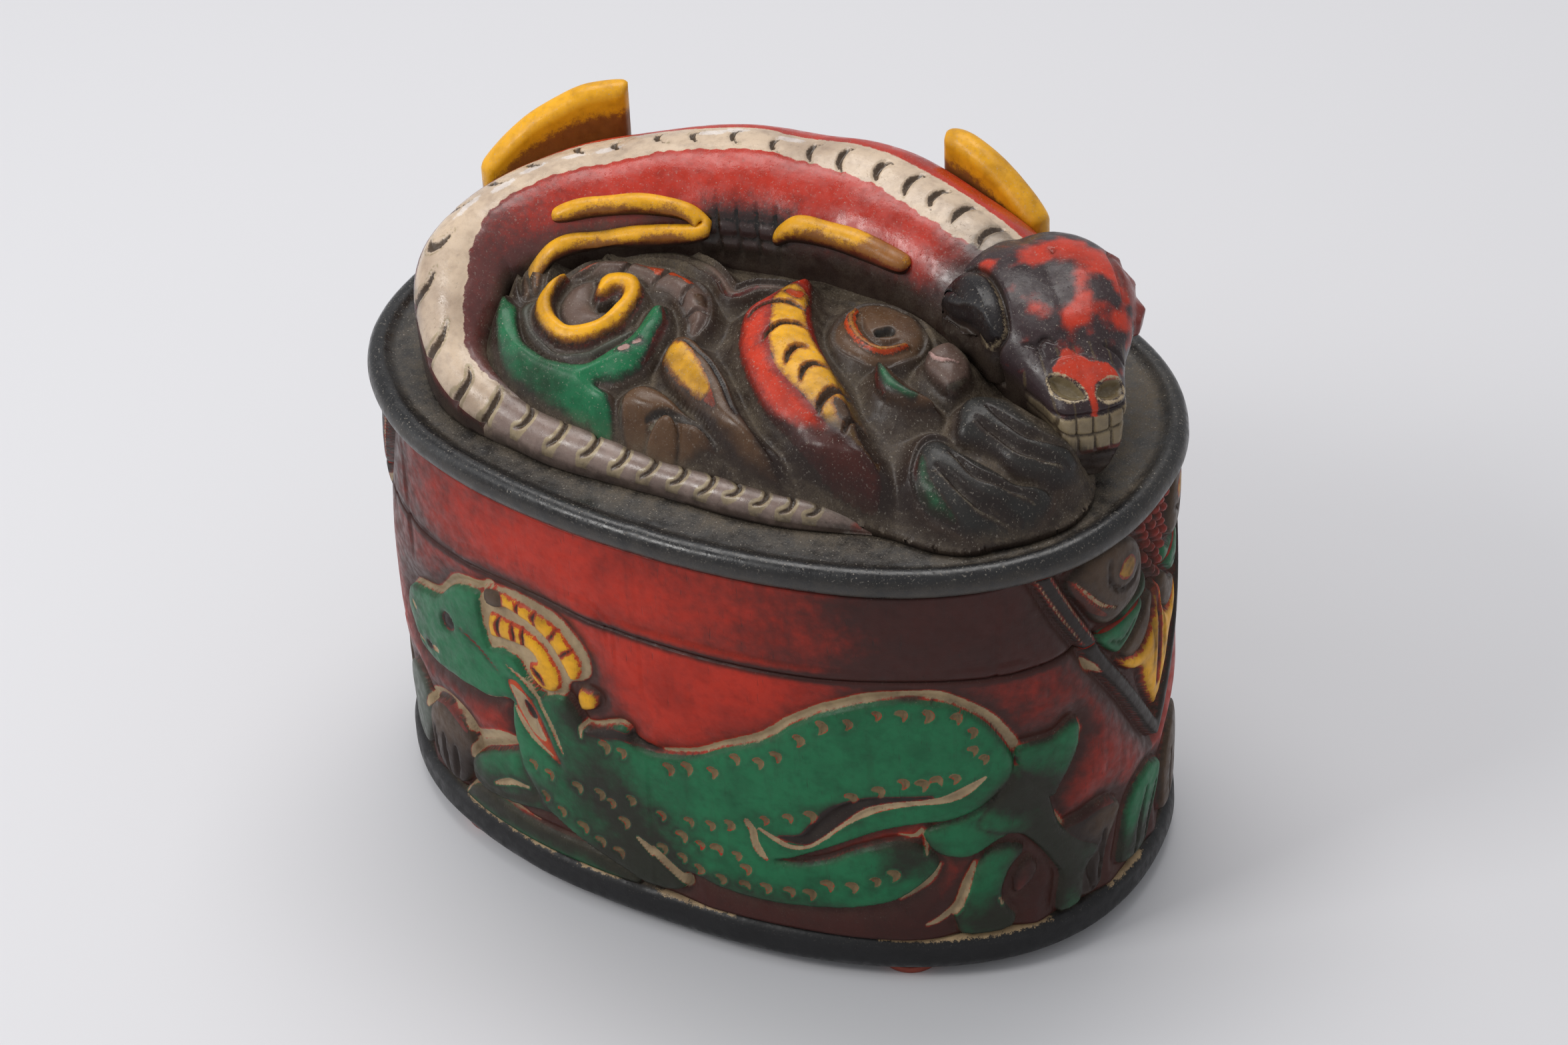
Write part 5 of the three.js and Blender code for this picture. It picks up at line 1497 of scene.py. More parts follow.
# Painted highlights: orange dabs along the arch's upper edge; the last one is brown.
ARCH_HIGHLIGHTS = [
    [(-32.9, -8.2, 0.5), (-31.6, -6, 0.8), (-30.7, -5.4, 0.4)],
    [(-29.6, -3.9, 0.5), (-27.6, -3.3, 0.8), (-25.8, -3.2, 0.5)],
    [(-23.4, -2.8, 0.6), (-20.6, -2.8, 1.1), (-19, -4.4, 0.6)],
    [(-16.6, -3.9, 0.7), (-14.4, -3.4, 1.0), (-12.6, -4.4, 0.7)], [(-9, -7.4, 0.8), (-7.9, -8.6, 0.9)],
]
ARCH_CUTS = [
    [(-32.6, -9.8, 0.3), (-31.4, -8.3, 0.65), (-30.4, -6.7, 0.3)],
    [(-25.3, -6, 0.3), (-24.7, -4.2, 0.55), (-24.8, -2.6, 0.3)],
    [(-18.6, -6.4, 0.3), (-17.9, -4.3, 0.55), (-18.2, -2.4, 0.3)],
    [(-11.6, -9.4, 0.3), (-12.2, -7.4, 0.55), (-11.6, -5.0, 0.3)],
    [(-9.6, -11.8, 0.2), (-8, -10.6, 0.5), (-6.4, -10.4, 0.2)],
]
RIDGE = [
    (-30, -2.4, 0.5), (-25.5, 0.6, 1.1), (-20, 3.2, 1.5), (-13, 2.3, 1.5), (-8.5, -0.4, 1.3), (-5, -3, 1.4),
    (-2, 0.8, 1.2), (4, 3.8, 0.8),
]
RIDGE_RED = [(-24.5, 0.6), (-20, 2.2), (-14, 1.3), (-9, -1.4), (-5.2, -4.1), (-3.6, -2.6), (-2, 0.6)]
HIND_PAW = [
    (-42.7, -0.6), (-40.4, 0), (-39.2, -5), (-37.4, -12), (-37.4, -15.6), (-39.4, -17.6), (-42.5, -12.4), (-43.5, -6),
]
LONG_LEAF = [
    (-8.5, -21), (-8.2, -18.8), (-6.6, -17.7), (-4, -18), (0, -20), (5, -23.6), (10, -28), (16, -32), (22, -34.4),
    (14, -34), (8, -32), (3, -30.2), (-1, -28.2), (-5.5, -25.8), (-8.1, -23.4),
]
LEAF_GOLD = [
    (-8.1, -20.8), (-6.6, -19.9), (-3, -21.2), (0, -23.6), (3.6, -27), (6, -29.3), (3, -28.9), (-1, -27.3),
    (-5, -25.3), (-7.8, -23),
]
CURL = [
    (-9.6, -27.7), (-5.5, -27.4), (-1, -28.8), (5, -30.7), (10, -32.8), (5, -34), (1, -36), (-1, -38), (-5, -38.4),
    (-8.5, -36.8), (-11, -33.6), (-11.5, -30.2),
]
BALL = [(-5.4, -34.6), (-4.2, -32.5), (-1.6, -31.8), (0.4, -33.2), (0.5, -36), (-1.4, -38), (-4, -37.6)]
SERPENT = [
    (5.5, 4, 1.2), (5.5, 1.5, 2.5), (5.6, -4.5, 5.0), (6.8, -9, 6.1), (9.5, -13.5, 6.6), (13.5, -17.5, 6.8),
    (18, -21.5, 6.4), (24, -25.5, 5.3), (30, -28.5, 3.6), (36, -30.4, 1.5),
]
SERPENT_YELLOW = [
    (3.5, 1), (3.2, -1.5), (3.6, -4.5), (5.6, -8.5), (7.3, -13), (9.7, -16.7), (13.5, -20.3), (18.5, -22.9),
    (23.8, -25.2), (28.5, -27.2), (33, -28), (36.5, -28.6), (34, -25), (30, -21.5), (27, -18.8), (21, -15),
    (17, -12.4), (13, -9.4), (10.2, -5), (8.6, -0.4), (5.6, 1.2),
]
SERPENT_CUTS = [
    [(2.2, -10.2, 0.15), (2.6, -8, 0.4), (4.2, -5.7, 0.5), (7, -4.4, 0.45), (9.8, -4.5, 0.15)],
    [(7.5, -15.6, 0.15), (7.4, -13, 0.45), (8.3, -10.5, 0.5), (10.6, -9.2, 0.4), (12.9, -9, 0.15)],
    [(13.8, -18.6, 0.15), (12.9, -16.2, 0.5), (13.3, -14.3, 0.45), (14.8, -13.3, 0.15)],
    [(18, -21, 0.15), (17.2, -18.6, 0.5), (17.6, -16.6, 0.5), (19.6, -15.4, 0.15)],
    [(23.8, -25.3, 0.2), (22.9, -22.6, 0.7), (23.4, -20.2, 0.75), (25.8, -18.7, 0.2)],
    [(28.6, -27.2, 0.15), (28.2, -25, 0.45), (28.7, -23, 0.5), (30.1, -22, 0.15)],
]
DISC = [(15.6, -2.5), (17.2, -7.6), (22.6, -10.2), (28.4, -8.6), (31, -3), (29, 3), (23, 5.4), (17, 4)]
CRESCENT = [
    (17, -0.2, 0.3), (17.3, -2.3, 0.55), (19, -4.9, 0.6), (21.4, -6.7, 0.6), (24.6, -7.2, 0.55), (27.4, -6, 0.45),
    (28.8, -3.9, 0.2),
]
SMALL_LEAF = [(26.4, -10.4), (29.4, -10.8), (33.4, -12.4), (39.8, -14.3), (36.6, -16.2), (31, -16.6), (28.2, -13.8)]
LEAF_GREEN = [
    (26.6, -10.7), (28.6, -11.5), (31, -13), (34, -14.1), (36.6, -14.3), (36.4, -15.5), (33.6, -15.9), (31.2, -16),
    (29.6, -14.6), (27.9, -12.8),
]
KNOB = [
    (33.4, -2), (35, 0.3), (38.5, -0.4), (41.2, -3.5), (42, -7), (40.4, -10.3), (37.4, -9.8), (34.8, -8.2),
    (33.4, -5.4),
]
LOBE_HIGH = [
    (43.1, -13), (43.4, -9.4), (45.6, -6.8), (50, -5.6), (56, -5.6), (63, -7), (64, -13), (60, -17), (55, -18),
    (50, -17.2), (45.6, -17.6),
]
LOBE_LOW = [
    (40.1, -21.4), (41.4, -19.2), (44, -18.1), (50, -18.4), (56, -18.6), (62, -16), (61, -24), (54, -29.4),
    (48, -30.6), (44, -29.4), (41.4, -26.4),
]
LOBE_GREEN = [
    (40.8, -22.6), (42.4, -23.8), (44.4, -26.4), (47.6, -28.4), (51, -29.7), (46, -30.2), (42.8, -28.6),
    (40.9, -25.6),
]
LOBE_CUTS = [
    [(47.4, -10.4), (53, -12), (58, -11.4), (63, -9)], [(47, -13.6), (53, -15), (59, -14.4), (63, -12)],
    [(45.4, -20.6), (50, -22.2), (55, -22), (60.5, -19.6)], [(44.6, -24.4), (49, -25.8), (54, -26), (59.5, -23.4)],
]


def scroll_drawing():
    """The plants and the serpent seen from above, from the lowest up."""
    drawing = [
        figure(RIDGE, "mauve", -1.8, dome=1.2),
        stroke(RIDGE_RED, 0.45, 0.2, "redline"),
        figure(ARCH, "mauve", -1.0, dome=1.8, moat=0.8),
    ]
    # Painted highlights along the arch's upper edge.
    drawing += [cut(points, 0.0, "orange" if i < 4 else "brown") for i, points in enumerate(ARCH_HIGHLIGHTS)]
    drawing += [cut(points, 1.1) for points in ARCH_CUTS]
    drawing += [
        figure(HIND_PAW, "brown", -1.2, dome=1.2),
        stroke([(-41.4, -1.2), (-40.2, -7), (-38.2, -13.6)], 0.9, -0.2, "yellow"),
        stroke([(-40, -2.6), (-38.9, -8), (-37.7, -13.4)], 0.3, 0.0, "redline"),
        stroke([(-42.2, -6.4), (-40.4, -12.4), (-38.6, -16)], 0.4, 0.9, "grey"),
        stroke([(-43.3, -9), (-41.8, -13.4), (-40.4, -16.2)], 0.35, 0.8, "grey"),
        figure(WING, "green", 0.0, dome=2.0, moat=1.0),
        stroke(WING_LINE, 0.22, 0.5, "pale"),
        figure(PETAL_IN, "grey", -1.0, dome=1.0, moat=0.6),
        stroke(WING_GROOVE, 0.4, 1.0),
        stroke([(x + 0.2, y - 0.7) for x, y in WING_GROOVE[:5]], 0.2, 0.2, "pale"),
        stroke([(-13.6, -12.8), (-11.2, -15.6), (-10.9, -20), (-11.4, -24.5)], 0.4, 0.1, "redline"),
        cut([(-15.3, -23.6, 0.7), (-14.9, -23.2, 0.7)], 0.3, "pink"),
        cut([(-13.9, -21.9, 0.3), (-13.3, -21.2, 0.4)], 0.3, "pink"),
        figure(BIG_DISH, "mauve", -1.8, dome=0.3, moat=0.6),
        figure([(x, y, r + 0.45) for x, y, r in BIG_BAND], "redline", -0.7, dome=0.5, moat=1.0),
        figure(BIG_BAND, "yellow", 0.2, dome=1.4, moat=0.2),
        cut([(-24.4, -15, 0.9), (-22.8, -14.2, 1.1), (-22.6, -13.6, 0.9)], 2.2, "black"),
        figure(CURL, "brown", -0.4, dome=1.8, moat=1.6),
        stroke([(-9.6, -27), (-11.5, -30.4), (-10.4, -34), (-7.6, -37.4)], 0.3, 0.0, "pale"),
        figure(BALL, "brown", 0.8, dome=2.8, moat=2.2),
        stroke([(-6, -32.4), (-3, -31.1), (2.4, -31.2), (8, -32.8)], 0.5, 1.4, "black"),
        stroke([(-5.6, -33), (-3.4, -32), (-1, -31.9)], 0.2, 0.0, "pale"),
        figure(LONG_LEAF, "brown", 0.4, dome=2.0, moat=1.8),
        cut(LEAF_GOLD, 0.0, "orange"),
        cut([(x, y) for x, y in LEAF_GOLD if x < 5], 0.0, "yellow"),
        stroke([(-5.4, -19.6), (0, -21.6), (5, -25.2), (10, -29.2)], 0.4, 0.9, "black"),
        figure(DISC, "brown", -0.9, dome=1.6, moat=1.2),
        cut([(23.6, -3.6, 0.9), (25.2, -2.4, 1.1)], 1.8, "black"),
        stroke([(18.8, -1), (20.4, -3.6), (22.6, -5), (25.6, -5.2), (27.4, -3.4)], 0.55, 0.8),
        figure([(x, y, r + 0.25) for x, y, r in CRESCENT], "orange", 0.3, dome=0.2, moat=0.4),
        cut([(x, y, r * 0.6) for x, y, r in CRESCENT], 0.0, "yellow"),
        stroke([(8, 4.8), (13, 6.5), (22, 7), (30, 3), (33, -2)], 0.6, 1.2),
        figure(SERPENT, "redline", 0.2, dome=2.4, moat=1.6),
        cut(SERPENT_YELLOW, 0.0, "yellow"),
        cut([(24.4, -21.6, 0.3), (26.4, -22.6, 1.2), (27.4, -24.4, 0.6)], 0.1, "brown"),
        cut([(29.6, -23, 0.6), (31.6, -24.8, 1.5), (34.6, -27, 0.9)], 0.1, "brown"),
        cut([(5, -1.4, 0.7), (6.8, -1.8, 1.0), (7.2, -0.6, 0.6)], 0.1, "orange"),
    ]
    drawing += [cut(points, 1.5, "brown") for points in SERPENT_CUTS]
    drawing += [
        figure(SMALL_LEAF, "brown", 0.2, dome=1.6, moat=1.6),
        cut(LEAF_GREEN, -0.1, "green"),
        stroke([(27, -11.6), (29.2, -14.6), (31, -16.2)], 0.3, 0.0, "redline"),
        stroke([(29.4, -11.7), (33, -13.3), (37.4, -14.1)], 0.25, 0.5),
        figure(KNOB, "mauve", 0.6, dome=2.4, moat=1.6),
        stroke([(33.8, -4.6), (36, -6.3), (39.4, -5.2)], 0.35, -0.6, "pink"),
        stroke([(41.4, -6.6), (40.8, -8.8), (39.4, -10.2)], 0.3, 0.0, "pale"),
        figure(LOBE_LOW, "black", -1.2, dome=2.6, moat=1.2),
        cut(LOBE_GREEN, 0.0, "green"),
        stroke([(40.5, -22.6), (41.2, -25), (42.4, -27)], 0.35, 0.0, "redline"),
        stroke([(41, -20), (43, -18.9), (45.6, -18.3), (49.6, -18.9)], 0.35, 0.0, "green"),
        figure(LOBE_HIGH, "black", 0.0, dome=2.8, moat=1.6),
    ]
    drawing += [stroke(points, 1.0, 1.3) for points in LOBE_CUTS]
    drawing += [stroke([(x, y - 0.9) for x, y in points], 0.14, 0.0, "pale") for points in LOBE_CUTS[1:]]
    return drawing


SCROLL_PAINTS = ("green", "grey", "brown", "yellow", "orange", "redline", "black", "mauve", "pink", "pale")
SCROLL_SPOTS = [
    (52, -16, 10, 14, 0.35), (-34, -31, 12, 6, 0.50), (-41, -22, 3, 8, 0.5), (-25, -31, 6, 3, 0.25),
    (-16, -32, 4, 3, -0.2), (26, -31, 10, 3.5, 0.9), (33, -29, 7, 4, 0.9), (12, -14, 12, 8, -0.25),
    (20, -29, 9, 3, 0.4), (-33, -18, 3, 6, 0.30), (20, 10, 40, 6, 0.5), (7, -30, 5, 3, 0.35),
    (32, -26, 4, 3, 0.3), (-40, 2, 5, 4, 0.4),
]
SCROLL_NODES = ("scroll_bed", "serpent", "big_spiral", "leaf_cluster", "long_leaf", "green_wing", "ribbed_arch",
                "small_spiral", "curl_ball", "small_leaf", "knob")


class CARVED_OT_scrolls(bpy.types.Operator):
    """Carve the bed of scrolls, leaves and the serpent inside the beast's curl"""

    bl_idname = "carved_box.scrolls"
    bl_label = "Scroll carving"

    def execute(self, context):
        sizes = carving_sizes()
        paint = colours()
        pitch = sizes.detail / MM * 1.0
        low = np.min(MOUND, axis=0) - 1.0
        high = np.max(MOUND, axis=0) + 1.0
        count_x, count_y = ((high - low) / pitch).astype(int)
        bm = bmesh.new()
        bmesh.ops.create_grid(bm, x_segments=count_x, y_segments=count_y, size=0.5)
        places = low + (np.array([vert.co[:2] for vert in bm.verts]) + 0.5) * (high - low)
        edge = Mark(MOUND)
        rim = edge.distance(places)
        close = np.abs(rim) < pitch * 0.75
        slope = plan(*(edge.distance(places[close] + step) - rim[close] for step in ((0.1, 0), (0, 0.1))))
        places[close] -= slope / np.linalg.norm(slope, axis=1)[:, None] * rim[close, None]
        rim[close] = 0.0
        x, y = places.T
        flat = plan(x, y, 0.0)
        points = places + 0.22 * plan(random_field(flat, 7.0, 31), random_field(flat, 7.0, 32))
        crest = sizes.scroll_rise / MM - 0.010 * np.minimum(y + 5, 0) ** 2
        crest = crest - 0.0035 * np.maximum(x - 10, 0) ** 2 - 0.004 * np.minimum(x + 25, 0) ** 2
        valley = sizes.scroll_valley / MM

        def ground(away):
            return -valley * (1.0 - np.exp(-(away / 2.0) ** 1.3))

        relief, coats, cover, score = carve(points, scroll_drawing(), ground, SCROLL_PAINTS)
        height = BOARD_TOP + crest + relief + 0.12 * random_field(flat, 5.0, 33)
        foot = CARVING_SEAT + 0.6
        shoulder = np.sin(math.pi / 2 * np.clip((0.4 - rim) / 5.5, 0.0, 1.0))
        height = foot + np.maximum(height - foot, 0.0) * shoulder
        for vert, place, z in zip(bm.verts, places, height):
            vert.co = (*place, z)
        # Painted shade: darker along the figures' edges and cuts and in the valleys between them, lighter on the
        # figures, with darker and lighter spots added.
        soot = 0.26 + 0.50 * np.exp(-np.maximum(score, 0.0) / 0.4) + 0.35 * ease(0.0, 1.5, cover)
        soot = soot - 0.30 * ease(0.5, 1.5, -cover) + blotches(places, SCROLL_SPOTS)
        # Painted light and shade: the yellow, red and green figures are painted a darker copy of their colour at the
        # edges and their full colour in the middle.
        fields = dict(coats, yellow_lit_middle=coats["yellow"] + 0.45, red_lit_middle=coats["redline"] + 1.1, green_lit_middle=coats["green"] + 0.5,
                      soot=np.clip(soot, 0.0, 1.05))
        layers = {name: bm.verts.layers.float.new(name) for name in fields}
        for name, layer in layers.items():
            for vert, value in zip(bm.verts, fields[name]):
                vert[layer] = value
        outside = {vert for vert, gap in zip(bm.verts, rim) if gap > 0.1}
        gone = [face for face in bm.faces if any(vert in outside for vert in face.verts)]
        bmesh.ops.delete(bm, geom=gone, context="FACES")
        bmesh.ops.delete(bm, geom=[vert for vert in bm.verts if not vert.link_faces], context="VERTS")
        below = bmesh.ops.extrude_face_region(bm, geom=bm.faces[:], use_keep_orig=True)
        for item in below["geom"]:
            if isinstance(item, bmesh.types.BMVert):
                item.co.z = CARVING_SEAT
        bmesh.ops.dissolve_faces(bm, faces=[item for item in below["geom"] if isinstance(item, bmesh.types.BMFace)])
        # The dark green, redline and yellow coats are painted shade at the figures' edges, and redline also draws
        # thin red lines. The lit middle coats over them are painted light.
        finish = lacquered("Scroll lacquer", (0.060, 0.038, 0.025), [
            ("mauve", paint.mauve, 0.8, 0.25),
            ("green", (0.018, 0.048, 0.026), 0.5, 0.15),
            ("green_lit_middle", paint.green, 1.4, 0.6),
            ("grey", (0.050, 0.055, 0.040), 0.5, 0.3),
            ("brown", (0.105, 0.055, 0.028), 0.8, 0.5),
            ("orange", paint.orange, 0.6, 0.15),
            ("redline", (0.24, 0.020, 0.012), 0.5, 0.15),
            ("red_lit_middle", (0.56, 0.040, 0.014), 1.6, 1.0),
            ("yellow", (0.40, 0.135, 0.018), 0.6, 0.12),
            ("yellow_lit_middle", paint.yellow, 1.1, 0.35),
            ("black", (0.026, 0.025, 0.023), 0.5, 0.3),
            ("pale", (0.22, 0.19, 0.13), 0.5, 0.15),
            ("pink", (0.62, 0.38, 0.34), 0.3, 0.15),
        ], gloss=0.28, grain=0.2, fields=LACQUER_FIELDS, dust=1.0, specks=1.0, shine=0.28)
        settle("scroll_carving", as_mesh("scroll_carving", bm), "lid", SCROLL_NODES, finish)
        return {"FINISHED"}


# The head, as (ahead of its middle, to its left), with its heights over the board

HEAD_PLACE = at(0.66, 0.18)
HEAD_HEADING = math.radians(-45)
HEAD_COS, HEAD_SIN = math.cos(HEAD_HEADING), math.sin(HEAD_HEADING)
HEAD_LINE = [
    (-17, 0.5, 27, 11), (-12, 0.8, 28.6, 13.2), (-6, 1.0, 28.9, 14.4), (0, 0.9, 28.1, 14.0), (6, 0.6, 26.2, 11.6),
    (11, 0.4, 23.4, 9.0), (15.5, 0.4, 20.8, 7.2), (18.6, 0.4, 19.0, 6.3), (20.4, 0.4, 17.6, 5.6),
    (21.4, 0.4, 15.6, 4.6),
]
CROWN = 0.72
STAR = [
    (11.5, -1.2), (13.2, 0.8), (14.4, 2.0), (15.2, 4.8), (17.1, 5.8), (17.8, 3.8), (18, 1.8), (19.8, 1.0),
    (21.5, 0.8), (21.5, -0.1), (19.6, -0.3), (17.8, -0.9), (16, -2.8), (14.4, -4.6), (13.4, -3.4),
]
NOSTRILS = [[(19.4, -0.9, 0.4), (18.2, -2.6, 1.3), (16.6, -4.2, 1.3), (15.2, -5.2, 0.5)],
            [(19.6, 1.6, 0.4), (19.2, 3.2, 1.3), (18.6, 4.8, 1.3), (17.8, 6.2, 0.5)]]
LID_EYE = [
    (-12.4, -13.6), (-12, -11.2), (-8.5, -9.5), (-3, -8.9), (1.6, -9.2), (5, -10.3), (3.8, -12), (-1, -13.6),
    (-5, -15.4), (-10, -16.2),
]
BROW_FAR = [(-10, 14.2, 0.3), (-5, 13.4, 0.5), (0, 13, 0.5), (4, 12, 0.3)]
WRINKLES = [[(10.3, -2.6, 0.2), (9.2, -4.2, 0.4), (9.9, -5.6, 0.4), (11.7, -5.4, 0.2)],
            [(12.0, 5.4, 0.2), (12.6, 7.0, 0.3), (13.6, 8.3, 0.15)],
            [(-9.5, 3.2, 0.1), (-8.3, 3.6, 0.35), (-7.4, 3.2, 0.1)],
            [(8.4, -7.6, 0.1), (9.6, -5.8, 0.25), (10.2, -4.6, 0.1)]]
WARM = [
    (-4, 11, 3.6, 3.6, 1.1), (-7.5, 7, 3, 4, 0.8), (0, 13, 5, 1.8, 0.9), (-7.4, 0.4, 2.4, 2.8, 0.8),
    (-10.5, 3, 2.2, 6, 0.6), (-9.6, -8.0, 1.8, 1.8, 0.9), (6.8, 2.4, 2.2, 2.6, 1.1), (3.8, -4, 1.8, 2, 0.6),
    (7.4, 9.6, 2.2, 2.2, 0.75), (4, 4.6, 2.6, 2.0, 0.5), (12.6, -0.8, 2.2, 2.0, 0.5), (-1, 6, 3, 2, 0.35),
]
CHIN = 8.6
TEETH_TOP = 15.6
TOOTH = 2.9
MUZZLE = 11


def on_head(p, q):
    """Plan place of a point p ahead of the head's middle and q to its left."""
    return HEAD_PLACE[0] + HEAD_COS * p - HEAD_SIN * q, HEAD_PLACE[1] + HEAD_SIN * p + HEAD_COS * q


def reach_to(points, *drawn):
    """Distance to the nearest of the outlines or strokes drawn."""
    return np.minimum.reduce([Mark(outline).distance(points) for outline in drawn])


def dip(value, width):
    """1 at 0, falling off on both sides like a bell of that width."""
    return np.exp(-(value / width) ** 2)


def pod(p, q, rise, radii, lean=0.0, roll=0.0, sides=5):
    """A knife-faceted spindle on the head, as (p, q, rise over the board, three radii, turn, roll)."""
    bm = bmesh.new()
    bmesh.ops.create_uvsphere(bm, u_segments=sides, v_segments=4, radius=1.0)
    x, y = on_head(p, q)
    turn = Matrix.Rotation(HEAD_HEADING + lean, 4, "Z") @ Matrix.Diagonal((*radii, 1.0))
    lying = Matrix.Rotation(roll, 4, "X") @ Matrix.Rotation(math.pi / 2, 4, "Y")
    bmesh.ops.transform(bm, verts=bm.verts, matrix=Matrix.Translation((x, y, BOARD_TOP + rise)) @ turn @ lying)
    return as_mesh("pod", bm)


def joined(name, meshes):
    bm = bmesh.new()
    for mesh in meshes:
        bm.from_mesh(mesh)
        bpy.data.meshes.remove(mesh)
    return as_mesh(name, bm)


def remeshed(mesh, voxel):
    """One closed skin round all the lumps of a mesh."""
    piece = bpy.data.objects.new("rough", mesh)
    bpy.context.scene.collection.objects.link(piece)
    skin = piece.modifiers.new("Skin", "REMESH")
    skin.mode = "VOXEL"
    skin.voxel_size = voxel
    even = piece.modifiers.new("Even", "SMOOTH")
    even.factor = 0.5
    even.iterations = 5
    result = bpy.data.meshes.new_from_object(piece.evaluated_get(bpy.context.evaluated_depsgraph_get()))
    bpy.data.objects.remove(piece)
    bpy.data.meshes.remove(mesh)
    return result


